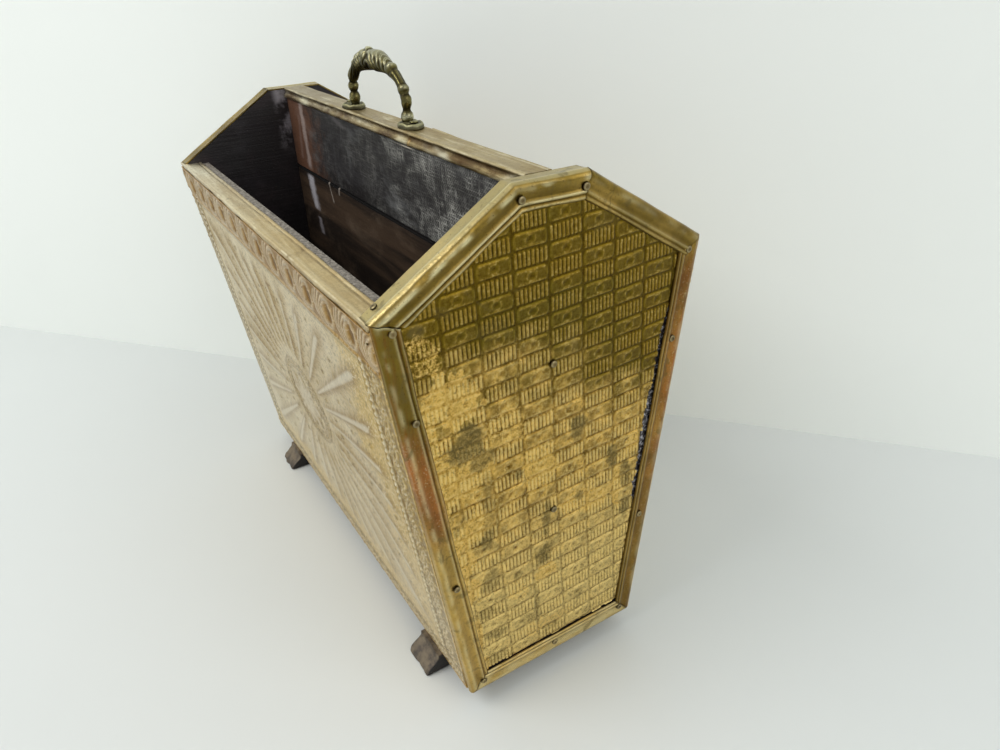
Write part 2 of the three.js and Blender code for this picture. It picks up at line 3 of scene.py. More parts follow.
import bpy
import numpy as np
from bpy.props import FloatProperty, FloatVectorProperty, IntProperty, PointerProperty
from mathutils import Matrix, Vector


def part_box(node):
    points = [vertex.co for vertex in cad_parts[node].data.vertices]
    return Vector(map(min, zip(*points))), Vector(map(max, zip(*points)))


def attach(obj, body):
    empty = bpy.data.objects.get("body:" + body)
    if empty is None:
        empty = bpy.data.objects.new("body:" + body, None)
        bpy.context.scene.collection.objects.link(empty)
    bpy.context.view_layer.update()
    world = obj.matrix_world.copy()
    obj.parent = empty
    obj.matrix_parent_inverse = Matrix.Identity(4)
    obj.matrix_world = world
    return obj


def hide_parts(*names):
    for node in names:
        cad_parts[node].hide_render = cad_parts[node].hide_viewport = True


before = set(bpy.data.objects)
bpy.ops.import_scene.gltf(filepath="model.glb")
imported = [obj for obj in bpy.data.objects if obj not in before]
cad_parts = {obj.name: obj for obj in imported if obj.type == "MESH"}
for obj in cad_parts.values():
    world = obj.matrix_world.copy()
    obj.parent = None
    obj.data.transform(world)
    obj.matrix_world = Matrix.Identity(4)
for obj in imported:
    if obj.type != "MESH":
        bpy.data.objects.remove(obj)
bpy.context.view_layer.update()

bl_info = {
    "name": "Brass-clad Magazine Rack",
    "version": (1, 0, 0),
    "blender": (4, 5, 0),
    "location": "View3D > Sidebar > Rack",
    "description": "Builds the surfaces and finishes of a brass-clad magazine rack on its packed frame",
    "category": "Object",
}

MM = 0.001
TURN = 2.0 * math.pi
BODY = "root"

# Points along each side of the table of random values, after which a noise repeats
LATTICE = 64


# ---- Places taken from the frame, in metres ----

def box_of(node):
    """A node's lowest and highest corners."""
    low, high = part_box(node)
    return np.array(low), np.array(high)


# The gap between two strips, the thickness of a strip and of a sheet, and the fit between two layers
SEAM = 0.4 * MM
STRIP = MM
SHEET = 0.8 * MM
FIT = 0.3 * MM

BASE_LOW, BASE_HIGH = box_of("right_base_edging")
BENT_HIGH = box_of("right_front_slope_edging")[1]
SHOULDER_HIGH = box_of("right_back_side_edging")[1]
RIM_LOW, RIM_HIGH = box_of("front_top_strip")
CAP_LOW, CAP_HIGH = box_of("divider_cap")
FOOT_HIGH = box_of("right_foot")[1]
HANDLE_Z = box_of("handle")[0][2]
SHEET_HALF = box_of("front_sheet")[1][0]
DIVIDER_JOINT = box_of("divider_lower_plank")[1][2]

BOX_Z = BASE_LOW[2]
APEX_Z = BENT_HIGH[2]
HALF_BASE = BASE_HIGH[1] + SEAM / 2
HALF_APEX = BENT_HIGH[1] + SEAM / 2
HALF_SHOULDER = SHOULDER_HIGH[1] + 0.03 * MM
SHOULDER_Z = SHOULDER_HIGH[2] + SEAM / 2
END_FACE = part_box("right_end_board")[1][0] + FIT + SHEET + FIT + STRIP
SHEET_FACE = END_FACE - STRIP - FIT
RIM_EDGE = BASE_LOW[0]
HALF_RUN = CAP_HIGH[0]

# A long side's slope: its length from the fold to the shoulder, the way up it and the way out of it, the
# foot of the front one, and where its sheet ends under the top strip
SIDE_RUN = math.hypot(HALF_SHOULDER - HALF_BASE, SHOULDER_Z - BOX_Z)
SIDE_UP = np.array([0.0, -(HALF_SHOULDER - HALF_BASE) / SIDE_RUN, (SHOULDER_Z - BOX_Z) / SIDE_RUN])
SIDE_OUT = np.array([0.0, -SIDE_UP[2], SIDE_UP[1]])
SIDE_FOOT = np.array([0.0, -HALF_BASE, BOX_Z])
SHEET_TOP = SIDE_RUN - 3.3 * MM

# Corners of an end's outline in (y, z), counter-clockwise as seen from +X
CORNERS = np.array([
    (-HALF_BASE, BOX_Z),
    (HALF_BASE, BOX_Z),
    (HALF_SHOULDER, SHOULDER_Z),
    (HALF_APEX, APEX_Z),
    (-HALF_APEX, APEX_Z),
    (-HALF_SHOULDER, SHOULDER_Z),
])


def srgb(red, green, blue):
    """Linear colour of an sRGB colour given from 0 to 255."""
    values = np.array((red, green, blue)) / 255.0
    linear = np.where(values <= 0.04045, values / 12.92, ((values + 0.055) / 1.055) ** 2.4)
    return tuple(float(v) for v in linear)


# ---- Numbers worked out over whole arrays ----

def ease(value, start, stop):
    """Smooth step: 0 at start, 1 at stop, and t * t * (3 - 2 t) between, with t the share of the way."""
    t = np.clip((value - start) / (stop - start), 0.0, 1.0)
    return t * t * (3.0 - 2.0 * t)


def bump(value, centre, width):
    """Bell curve: e to minus the square of the distance from centre over width."""
    return np.exp(-(((value - centre) / width) ** 2))


def ease_mm(value, start, stop):
    """The smooth step, with start and stop in millimetres."""
    return ease(value, start * MM, stop * MM)


def bump_mm(value, centre, width):
    """The bell curve, with centre and width in millimetres."""
    return bump(value, centre * MM, width * MM)


def dome(square):
    """A half round of height 1: the root of one minus `square`, the squared reach, and 0 past its foot."""
    return np.sqrt(np.clip(1 - square, 0.0, 1.0))


def noise(x, y, cell, seed):
    """Smooth random field from -1 to 1: seeded values on a square lattice of `cell` millimetres, eased
    between the four lattice points around each place."""
    table = np.random.default_rng(seed).uniform(-1.0, 1.0, (LATTICE, LATTICE))
    u, v = np.broadcast_arrays(np.asarray(x) / (cell * MM), np.asarray(y) / (cell * MM))
    column, row = np.floor(u).astype(int), np.floor(v).astype(int)
    across, up = ease(u - column, 0.0, 1.0), ease(v - row, 0.0, 1.0)

    def corner(right, above):
        return table[(column + right) % LATTICE, (row + above) % LATTICE]

    lower = corner(0, 0) * (1 - across) + corner(1, 0) * across
    upper = corner(0, 1) * (1 - across) + corner(1, 1) * across
    return lower * (1 - up) + upper * up


def highest(*fields):
    """The greatest of several fields at each place."""
    return np.maximum.reduce(np.broadcast_arrays(*fields))


def rough_noise(x, y, cell, seed, octaves=3):
    """Sum of `octaves` noises, each half the height and half the cell of the one before."""
    total = 0.0
    for octave in range(octaves):
        total = total + noise(x, y, cell / 2 ** octave, seed + octave) / 2 ** octave
    return total


def curve_through(points, steps):
    """A smooth line through the points: between neighbours a cubic whose slope at each point is half the
    difference of the points either side."""
    given = np.asarray(points, dtype=float)
    padded = np.concatenate([2 * given[:1] - given[1:2], given, 2 * given[-1:] - given[-2:-1]])
    t = (np.arange(steps) / steps)[None, :, None]
    a, b, c, d = (padded[k:len(given) - 1 + k, None, :] for k in range(4))
    square, cube = 2 * a - 5 * b + 4 * c - d, 3 * b - a - 3 * c + d
    line = 0.5 * (2 * b + (c - a) * t + square * t ** 2 + cube * t ** 3)
    return np.concatenate([line.reshape(-1, given.shape[1]), given[-1:]])


def rounded(centre, radius, start, stop, steps):
    """Points round an arc about a centre; `radius` is one number, or one across and one up."""
    turn = np.linspace(start, stop, steps)[:, None]
    return np.asarray(centre) + np.asarray(radius) * np.concatenate([np.cos(turn), np.sin(turn)], axis=1)


def unit(vector):
    """A way of length 1."""
    return np.asarray(vector, dtype=float) / np.linalg.norm(vector)


def inward_normals():
    """The way along each edge of an end's outline, and the way in from it."""
    along = np.roll(CORNERS, -1, axis=0) - CORNERS
    along /= np.linalg.norm(along, axis=1)[:, None]
    return along, np.stack([-along[:, 1], along[:, 0]], axis=1)


ALONG, INWARD = inward_normals()


def inset_corner(index, inset):
    """The corner when the outline is drawn in: the two edges' normals, summed, times the inset over one plus
    their dot product."""
    before, after = INWARD[index - 1], INWARD[index % 6]
    share = np.asarray(inset) / (1.0 + before @ after)
    return CORNERS[index % 6] + share[..., None] * (before + after)


def rim_inset(y, z):
    """How far each point (y, z) lies in from the nearest edge of the end's outline."""
    points = np.stack([y, z], axis=-1)
    distances = [(points - CORNERS[i]) @ INWARD[i] for i in range(6)]
    return np.min(distances, axis=0)


# ---- Meshes ----

def grid_faces(rows, columns, closed=False):
    """Quads between neighbouring points of a rows x columns grid, whose rows are closed on themselves if
    asked."""
    row = np.arange(rows - 1)[:, None]
    column = np.arange(columns if closed else columns - 1)[None, :]
    next_column = (column + 1) % columns
    corners = [row * columns + column, row * columns + next_column,
               (row + 1) * columns + next_column, (row + 1) * columns + column]
    return np.stack(np.broadcast_arrays(*corners), axis=-1).reshape(-1, 4)


def facing_way(points, faces, facing):
    """Positive if the faces turn outwards: the enclosed volume's sign, or for an open surface the mean
    normal's dot product with `facing`."""
    a, b, c = (points[faces[:, k]] for k in (0, 1, 2))
    d = points[faces[:, 3]]
    normals = np.cross(c - a, d - b)
    if facing is None:
        return float(np.sum(normals * (a + b + c + d)))
    return float(np.sum(normals @ np.asarray(facing)))


def make_piece(name, points, faces, material, replaced=(), caps=(), facing=None, values=None,
               crease=40.0, turned=False):
    """A mesh object from points, quads and end caps, standing for CAD nodes. `facing` is the way that an
    open surface looks, `values` holds point attributes, and `turned` gives the half turn about Z of the far
    side."""
    points = np.asarray(points, dtype=float).reshape(-1, 3)
    if turned:
        points = points * (-1.0, -1.0, 1.0)
        facing = None if facing is None else np.multiply(facing, (-1.0, -1.0, 1.0))
    polygons = [tuple(face) for face in faces.tolist()] + [tuple(cap) for cap in caps]
    if facing_way(points, faces, facing) < 0:
        polygons = [face[::-1] for face in polygons]
    mesh = bpy.data.meshes.new(name)
    mesh.from_pydata(points.tolist(), [], polygons)
    mesh.polygons.foreach_set("use_smooth", np.ones(len(polygons), dtype=bool))
    mesh.set_sharp_from_angle(angle=math.radians(crease))
    for key, value in (values or {}).items():
        layer = mesh.attributes.new(key, "FLOAT", "POINT")
        layer.data.foreach_set("value", np.broadcast_to(value, points.shape[:1]).astype(np.float32).ravel())
    mesh.materials.append(material)
    mesh.validate()
    piece = put_in_scene(name, mesh)
    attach(piece, BODY)
    if replaced:
        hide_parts(*replaced)
    return piece


def put_in_scene(name, data):
    """A new object in the scene, with this data."""
    thing = bpy.data.objects.new(name, data)
    bpy.context.scene.collection.objects.link(thing)
    return thing


def spread(values, shape):
    """Each field laid over the whole grid and held between 0 and 1."""
    return {key: np.clip(np.broadcast_to(value, shape), 0, 1).ravel() for key, value in values.items()}


def ring_piece(name, rings, material, replaced, values, crease, turned=False):
    """A piece of closed rings carried along a path, (rings, ring points, 3), with the two end rings as caps.
    `values` are fields over the rings."""
    count, sides, _ = rings.shape
    caps = [range(sides), range(count * sides - 1, (count - 1) * sides - 1, -1)]
    return make_piece(name, rings, grid_faces(count, sides, closed=True), material, replaced, caps,
                      values=spread(values, rings.shape[:2]), crease=crease, turned=turned)


def turned_rings(profile, sides):
    """Rings of a profile of (radius, height) turned about Z."""
    angle = np.arange(sides) * TURN / sides
    radius, height = np.asarray(profile, dtype=float).T[..., None]
    return np.stack(np.broadcast_arrays(radius * np.cos(angle), radius * np.sin(angle), height), axis=-1)


def rings_along_x(section, x, shift):
    """Rings of a closed (y, z) section carried along X, with `shift` (rings, section points, 2) added to
    it."""
    rings = np.empty((len(x), len(section), 3))
    rings[..., 0] = x
    rings[..., 1:] = section + shift
    return rings


# ---- Node trees ----

class Nodes:
    """A node tree in the making, with what it is given to start from. `place` names the coordinates among
    that. Wherever a method takes a number or a colour, it takes a socket as well."""

    def __init__(self, tree, given, place):
        self.tree = tree
        self.given = given
        self.place = given[place]

    def put(self, kind, inputs=None, **settings):
        """Adds a node. `inputs` gives an input by name or number a value, or a socket to link from."""
        node = self.tree.nodes.new(kind)
        for key, value in settings.items():
            setattr(node, key, value)
        for key, value in (inputs or {}).items():
            if isinstance(value, bpy.types.NodeSocket):
                self.tree.links.new(value, node.inputs[key])
            else:
                node.inputs[key].default_value = value
        return node

    def maths(self, operation, first, second=0.0, clamp=False):
        node = self.put("ShaderNodeMath", {0: first, 1: second}, operation=operation, use_clamp=clamp)
        return node.outputs[0]

    def times(self, first, *others):
        for value in others:
            first = self.maths("MULTIPLY", first, value)
        return first

    def plus(self, first, *others):
        for value in others:
            first = self.maths("ADD", first, value)
        return first

    def minus(self, first, second):
        return self.maths("SUBTRACT", first, second)

    def larger(self, first, second):
        return self.maths("MAXIMUM", first, second)

    def ramp(self, value, from_low, from_high, to_low=0.0, to_high=1.0):
        """A smooth step of a value from one range to another."""
        inputs = {0: value, 1: from_low, 2: from_high, 3: to_low, 4: to_high}
        node = self.put("ShaderNodeMapRange", inputs, interpolation_type="SMOOTHSTEP", clamp=True)
        return node.outputs[0]

    def band(self, value, low, high, soft):
        """1 between low and high, falling to 0 over `soft` outside them."""
        inside = self.minus(self.ramp(value, low - soft, low), self.ramp(value, high, high + soft))
        return self.larger(inside, 0.0)

    def mix(self, factor, first, second):
        """A colour between two others."""
        first, second = (tone if isinstance(tone, bpy.types.NodeSocket) else opaque(tone)
                         for tone in (first, second))
        return self.put("ShaderNodeMix", {0: factor, 6: first, 7: second}, data_type="RGBA").outputs[2]

    def axis(self, name):
        """One of the three coordinates: X, Y or Z."""
        return self.put("ShaderNodeSeparateXYZ", {0: self.place}).outputs[name]

    def mapped(self, scale, rotation=(0.0, 0.0, 0.0)):
        """The coordinates stretched and then turned."""
        inputs = {"Vector": self.place, "Scale": scale, "Rotation": rotation}
        return self.put("ShaderNodeMapping", inputs).outputs[0]

    def random(self, scale, detail=4.0, roughness=0.55, distortion=0.0, rotation=(0.0, 0.0, 0.0)):
        """A random field of `scale` lumps to the metre, or of three such numbers, one for each way, if the
        lumps are drawn out."""
        place = self.place
        if isinstance(scale, tuple):
            place, scale = self.mapped(scale, rotation), 1.0
        inputs = {"Vector": place, "Scale": scale, "Detail": detail, "Roughness": roughness,
                  "Distortion": distortion}
        return self.put("ShaderNodeTexNoise", inputs).outputs["Fac"]


def opaque(tone):
    """Four numbers for a colour socket."""
    return (*tone[:3], 1.0)


def patina(nodes):
    """Clouds of dull tarnish, dark blotches, fine specks and a handled surface's small unevenness."""
    nodes.place = nodes.put("ShaderNodeVectorMath", {0: nodes.place, "Scale": nodes.given["Size"]},
                            operation="SCALE").outputs[0]
    blots = nodes.ramp(nodes.random(48, 3, 0.5, 1.2), 0, 1)
    edge = nodes.minus(0.78, nodes.times(nodes.given["Blotches"], 0.3))
    return {
        "Clouds": nodes.ramp(nodes.random(22, 5, 0.6, 0.4), 0.34, 0.68),
        "Blotches": nodes.maths("MULTIPLY", nodes.minus(blots, edge), 14, clamp=True),
        "Specks": nodes.ramp(nodes.random(620, 2), 0.62, 0.72),
        "Height": nodes.random(260, 4, 0.6),
    }


def scratches(nodes):
    """Fine scratches that run mostly one way, as a mask and as a height."""
    streak = nodes.random((30, 700, 700), 3, 0.6, rotation=(0.1, 0.25, 0.15))
    return {"Mask": nodes.ramp(streak, 0.66, 0.74), "Height": streak}


def wood_grain(nodes):
    """Wood grain: long fibres along X, wider streaks, and scuffs where the stain is rubbed."""
    return {
        "Fibres": nodes.random((14, 520, 520), 4, 0.6, 0.3),
        "Streaks": nodes.random((5, 60, 60), 4, 0.55, 0.6),
        "Scuffs": nodes.ramp(nodes.random((18, 30, 30), 6, 0.7, 0.5), 0.5, 0.75),
    }


# Effects that several materials share: the function that fills the node group, and the group's numbers
GROUPS = {
    "Patina": (patina, {"Size": 1.0, "Blotches": 0.5}),
    "Scratches": (scratches, {}),
    "Wood grain": (wood_grain, {}),
}


def shared_group(name):
    """The node group of that name, with its named sockets. It is built once."""
    tree = bpy.data.node_groups.get(name)
    if tree is None:
        tree = bpy.data.node_groups.new(name, "ShaderNodeTree")
        fill, numbers = GROUPS[name]
        tree.interface.new_socket("Vector", in_out="INPUT", socket_type="NodeSocketVector")
        for socket, default in numbers.items():
            item = tree.interface.new_socket(socket, in_out="INPUT", socket_type="NodeSocketFloat")
            item.default_value = default
        filled = fill(Nodes(tree, tree.nodes.new("NodeGroupInput").outputs, "Vector"))
        for socket in filled:
            tree.interface.new_socket(socket, in_out="OUTPUT", socket_type="NodeSocketFloat")
        end = tree.nodes.new("NodeGroupOutput")
        for socket, value in filled.items():
            tree.links.new(value, end.inputs[socket])
    return tree


class Coat(Nodes):
    """The finish of a surface in the making: a material with one shader, and `base`, the colour laid on so
    far."""

    def __init__(self, name):
        self.material = bpy.data.materials.new(name)
        self.material.use_nodes = True
        tree = self.material.node_tree
        tree.nodes.clear()
        super().__init__(tree, tree.nodes.new("ShaderNodeTexCoord").outputs, "Object")
        self.shader = self.put("ShaderNodeBsdfPrincipled")
        self.surface = self.put("ShaderNodeOutputMaterial", {0: self.shader.outputs[0]})
        self.base = None

    def own(self, name):
        """A number that the piece carries on its points."""
        return self.put("ShaderNodeAttribute", attribute_name=name).outputs["Fac"]

    def group(self, name, **values):
        """The outputs of a shared node group with these values."""
        values.setdefault("Vector", self.place)
        return self.put("ShaderNodeGroup", values, node_tree=shared_group(name)).outputs

    def lay(self, *layers):
        """Lays tones over the base one after another, each where its mask is and up to its amount."""
        for mask, tone, amount in layers:
            self.base = self.mix(self.times(mask, amount), self.base, tone)

    def finish(self, roughness, height, distance, strength, metallic=1.0):
        """Feeds the shader its colour, its roughness and a bump, and gives the material."""
        bumps = self.put("ShaderNodeBump", {"Strength": strength, "Distance": distance, "Height": height})
        fed = {"Base Color": self.base, "Roughness": roughness, "Normal": bumps.outputs[0]}
        for socket, value in fed.items():
            self.tree.links.new(value, self.shader.inputs[socket])
        self.shader.inputs["Metallic"].default_value = metallic
        return self.material


def brass_material(name, tones, roughness, blotches, size, recess):
    """Brass of four tones: bright where it is rubbed, dull in the clouds of tarnish, dark in blotches,
    specks and recesses, and light on the crests. The dark in the recesses is painted shade and the light on
    the crests a painted highlight; on a nail's head they paint a reflection. The piece marks its recesses
    and crests in its own values."""
    bright, dull, dark, light = tones
    coat = Coat(name)
    worn = coat.group("Patina", Size=size, Blotches=blotches)
    scratched = coat.group("Scratches")
    # Painted shade in the recesses that the piece marks
    hollow = coat.times(coat.own("recess"), recess)
    coat.base = coat.mix(worn["Clouds"], bright, dull)
    coat.lay(
        (scratched["Mask"], bright, 0.35),
        (coat.own("crest"), light, 0.6),
        (worn["Blotches"], dark, 0.6),
        (hollow, dark, 1),
        (worn["Specks"], dark, 0.45))
    rough = coat.plus(roughness, coat.times(worn["Clouds"], 0.12), coat.times(hollow, 0.2),
                      coat.times(worn["Blotches"], 0.15))
    height = coat.plus(worn["Height"], coat.times(scratched["Height"], 0.5))
    return coat.finish(rough, height, 0.4 * MM, 0.35)


# ---- Settings that a user would change ----

def length(name, description, millimetres):
    """A length in metres, given in millimetres."""
    return FloatProperty(name=name, description=description, default=millimetres * MM, min=0.0, unit="LENGTH")


def tint(name, description, *tone):
    """A linear colour, given as sRGB from 0 to 255."""
    return FloatVectorProperty(name=name, description=description, default=srgb(*tone), subtype="COLOR",
                               min=0.0, max=1.0, size=3)


class RackSizes(bpy.types.PropertyGroup):
    """Sizes of the embossing, the edging and the fittings."""

    cell_width: length("Block width", "Width of one block of the basket pattern", 21.74)
    cell_height: length("Block height", "Height of one block of the basket pattern", 10.37)
    row_drift: length("Row drift", "How far each row of the pattern lies beside the one above it", 0.465)
    ribs: IntProperty(name="Ribs", description="Upright ribs in one block", default=8, min=1)
    emboss_height: length("Emboss height", "Height of the basket pattern", 0.85)
    side_relief: length("Side relief", "Height of the front and back sheets' relief", 2.1)
    border_width: length("Border width", "Width of the leaf border down each side", 25)
    frieze_height: length("Frieze height", "Height of the row of leaves along the top", 24)
    frieze_pitch: length("Frieze pitch", "Distance between two leaves of the frieze", 31)
    flutes: IntProperty(name="Flutes", description="Rays round the middle of a long side", default=28, min=8)
    edging_width: length("Edging width", "Width of the edging on the face of an end", 14)
    edging_wave: length("Edging wave", "Unevenness of the hand-bent edging", 0.35)
    nail_radius: length("Nail radius", "Radius of the domed nail heads", 2.2)


class RackColours(bpy.types.PropertyGroup):
    """Colours of the finishes, linear."""

    gold: tint("Gold", "End sheets in their lower part", 228, 184, 92)
    gold_dull: tint("Dull gold", "Clouds on the gold", 150, 116, 46)
    # The olive of the end sheets' upper part is partly tarnish and partly a painted reflection of darker
    # surroundings
    olive: tint("Olive", "End sheets in their upper part", 122, 100, 26)
    olive_green: tint("Green olive", "Clouds on the olive", 108, 94, 28)
    # Painted highlights on the end sheets' crests; the second tone also paints the glints and, towards the
    # foot, a painted reflection of the floor
    olive_rubbed_highlight: tint("Rubbed olive", "Crests of the end sheets in their upper part", 176, 142, 62)
    rubbed: tint("Rubbed brass", "Crests of the end sheets in their lower part", 244, 216, 140)
    tarnish: tint("Tarnish", "Dark blotches", 112, 98, 58)
    # Dirt, and painted shade in the grooves and hollows of the end sheets and the edging
    dirt_and_shade: tint("Dirt", "Dirt in grooves and hollows", 64, 43, 8)
    edging: tint("Edging", "Edging brass where it is gold", 202, 166, 88)
    edging_olive: tint("Olive edging", "Edging brass where it is olive", 132, 110, 42)
    edging_dull: tint("Dull edging", "Clouds on the edging", 110, 90, 38)
    # Painted highlight on the edging's crests and a painted reflection on the nails' heads; also light specks
    # on the copper
    edging_light: tint("Light edging", "Crests of the edging", 240, 230, 180)
    edging_streak: tint("Edging streaks", "Brown streaks down the side edging", 128, 84, 28)
    copper: tint("Copper", "Reddish stretches of the side edging", 180, 108, 56)
    copper_dark: tint("Dark copper", "Clouds on the copper", 120, 74, 46)
    pale: tint("Pale brass", "Front and back sheets", 226, 209, 174)
    pale_dull: tint("Dull pale brass", "Clouds on the front and back sheets", 200, 178, 134)
    pale_gold: tint("Pale gold", "Front and back sheets near their ends and foot", 220, 190, 118)
    pale_leaves: tint("Gold leaves", "Row of leaves along the top", 192, 138, 48)
    pale_fold: tint("Gold fold", "Fold along the foot", 196, 156, 78)
    # Painted reflection in tan on the raised parts, painted highlight on the crests, and dirt with painted
    # shade in the hollows
    pale_tan: tint("Tan brass", "Raised parts of the front and back sheets", 152, 116, 54)
    pale_light: tint("Light pale brass", "Rubbed crests of the front and back sheets", 248, 240, 218)
    pale_dark: tint("Dark pale brass", "Hollows of the front and back sheets", 66, 36, 6)
    strip: tint("Strip brass", "Top strips, left", 228, 218, 192)
    strip_gold: tint("Gold strip brass", "Top strips, right", 210, 187, 138)
    strip_dull: tint("Dull strip brass", "Clouds on the top strips", 164, 140, 98)
    rim: tint("Cap brass", "Divider cap, left", 168, 154, 122)
    rim_gold: tint("Gold cap brass", "Divider cap, right", 184, 164, 116)
    rim_dull: tint("Dull cap brass", "Clouds on the divider cap", 124, 100, 66)
    # Painted highlight on the nicked arrises of the strips and the cap; the dark tone also paints shade along
    # the strips' lips
    rim_light: tint("Light rim brass", "Nicks of the top strips and cap", 240, 232, 204)
    rim_dark: tint("Dark rim brass", "Grooves of the top strips and cap", 84, 58, 28)
    cast: tint("Cast brass", "High parts of the handle", 124, 116, 72)
    cast_dull: tint("Dull cast brass", "Clouds on the handle", 70, 64, 38)
    # Painted highlight on the handle's crests; the dark tone paints shade in the recesses of the handle, the
    # flanges and the nails, as well as blotches and specks
    cast_light: tint("Light cast brass", "Crests of the handle", 238, 234, 196)
    cast_dark: tint("Dark cast brass", "Recesses of the handle", 32, 26, 14)
    rough: tint("Rough brass", "Flanges of the handle", 148, 144, 112)
    rough_dull: tint("Dull rough brass", "Clouds on the flanges", 104, 98, 70)
    # Painted highlight on the flanges' lips
    rough_light: tint("Light rough brass", "Lips of the flanges", 206, 200, 150)
    nail: tint("Nail brass", "Domed nails", 134, 114, 76)
    nail_dull: tint("Dull nail brass", "Clouds on the nails", 96, 80, 52)
    stain: tint("Stain", "Dark stained boards", 30, 26, 26)
    stain_grey: tint("Grey stain", "Upper plank of the divider", 44, 41, 42)
    stain_brown: tint("Brown stain", "Lower plank of the divider", 76, 60, 46)
    worn_wood: tint("Worn wood", "Rubbed wood of the runners", 120, 107, 87)
    floor: tint("Floor", "Pale floor", 219, 222, 219)
    backdrop: tint("Backdrop", "Pale backdrop", 249, 252, 246)


# ---- Ends: embossed sheets, edging and nails ----

# The two ends: whether one is turned half round from the right one, and which long side is near and far there
ENDS = (("right", False, "front", "back"), ("left", True, "back", "front"))

# The basket pattern: the share of a block's width that its bars take, half a plate's width and height, and
# the radii of a plate's corners and of the ring on it
BAR_SHARE = 0.95
PLATE_HALF = (10.3 * MM, 4.6 * MM)
PLATE_CORNER = 2.9 * MM
PLATE_RING = 2.5 * MM

# The place of the block that the pattern is counted from, as y and height over the box's underside, how far
# each block climbs over the one before it, and, for each row squared, the drift and the spread
PATTERN_MIDDLE = (12 * MM, 172.5 * MM)
PATTERN_CLIMB = 0.95 * MM
PATTERN_BEND = (0.009 * MM, 0.026 * MM)

# Spots of an end: y, height over the box's underside, radius across, radius up, all in millimetres, and how
# strong the spot is. The first list is dark tarnish, the second is where the pattern is rubbed flat.
BLOTCHES = (
    (-57, 195, 12, 13, 1), (-50, 183, 8, 9, 0.85), (18, 178, 6.5, 9, 0.9),
    (45.5, 148, 4.6, 9.5, 0.95), (-25, 162, 3.6, 4.4, 0.75), (-48, 124, 5, 9.5, 0.85),
    (20, 127, 4.6, 4.6, 0.85), (-5, 120, 3.2, 17, 0.75), (57, 128, 4.2, 10, 0.8),
    (57.5, 99, 5.6, 10, 0.9), (-8.5, 91, 6, 8.5, 0.95), (-47.5, 90, 9, 8.5, 0.6),
    (-28, 85, 3.4, 3.4, 0.8), (-50, 65, 9, 5, 0.65), (-45, 43, 9.5, 5, 0.7),
    (-45, 22, 9, 4.5, 0.5), (20, 41, 4, 5, 0.6), (-22, 42, 8, 5.5, 0.5),
    (-3, 25, 7, 4, 0.5), (-80, 271, 5, 4, 0.75), (-46, 150, 3.2, 44, 0.5),
    (-14, 52, 3, 20, 0.5), (-68, 140, 3, 6, 0.6), (-38, 259, 9, 5, 0.3),
    (14, 236, 4, 7, 0.35), (30, 300, 9, 5, 0.3),
)
RUBBED = (
    (-64, 226, 17, 19, 0.7), (-60, 178, 22, 19, 0.7), (-57, 137, 14, 9, 0.75),
    (-63, 112, 7, 14, 0.8), (-10, 160, 13, 20, 0.55), (24, 122, 22, 11, 0.5),
    (-7, 76, 11, 7, 0.5), (50, 117, 3.4, 17, 0.9), (-60, 88, 7, 12, 0.75),
    (-28, 70, 12, 8, 0.35), (-78, 258, 12, 14, 0.35), (-10, 30, 24, 8, 0.35),
    (-30, 196, 15, 16, 0.35), (62, 150, 6, 8, 0.5), (-78, 206, 4, 24, 0.85),
    (-73, 166, 3.6, 16, 0.9), (-68.5, 124, 3.4, 26, 0.95), (-63.5, 82, 3.6, 19, 0.9),
    (-58.5, 46, 4, 20, 0.9), (-55, 20, 3.4, 9, 0.85),
)


def patches(y, z, listed, seed):
    """Soft spots: for each listed one, its strength times a step of the distance over its radii, roughened by
    noise; the strongest counts."""
    ragged = 0.3 * rough_noise(y, z, 9, seed) + 0.16 * rough_noise(y, z, 2.2, seed + 6, 2)
    found = np.zeros(np.broadcast(y, z).shape)
    for at_y, rise, wide, high, strength in listed:
        reach = np.hypot((y - at_y * MM) / (wide * MM), (z - BOX_Z - rise * MM) / (high * MM)) + ragged
        found = np.maximum(found, strength * (1 - ease(reach, 0.7, 1.1)))
    return found


def pattern_place(column, row, sizes):
    """Where a place of the pattern, counted in blocks across and down from a block near the middle, lies on
    the end. The rows drift sideways as they go down, climb a little towards the back, and spread near the
    foot."""
    (y, rise), (drift, spread_out) = PATTERN_MIDDLE, PATTERN_BEND
    y = y + sizes.cell_width * column + sizes.row_drift * row + drift * row ** 2
    z = BOX_Z + rise + PATTERN_CLIMB * column - sizes.cell_height * row - spread_out * row ** 2
    return y, z


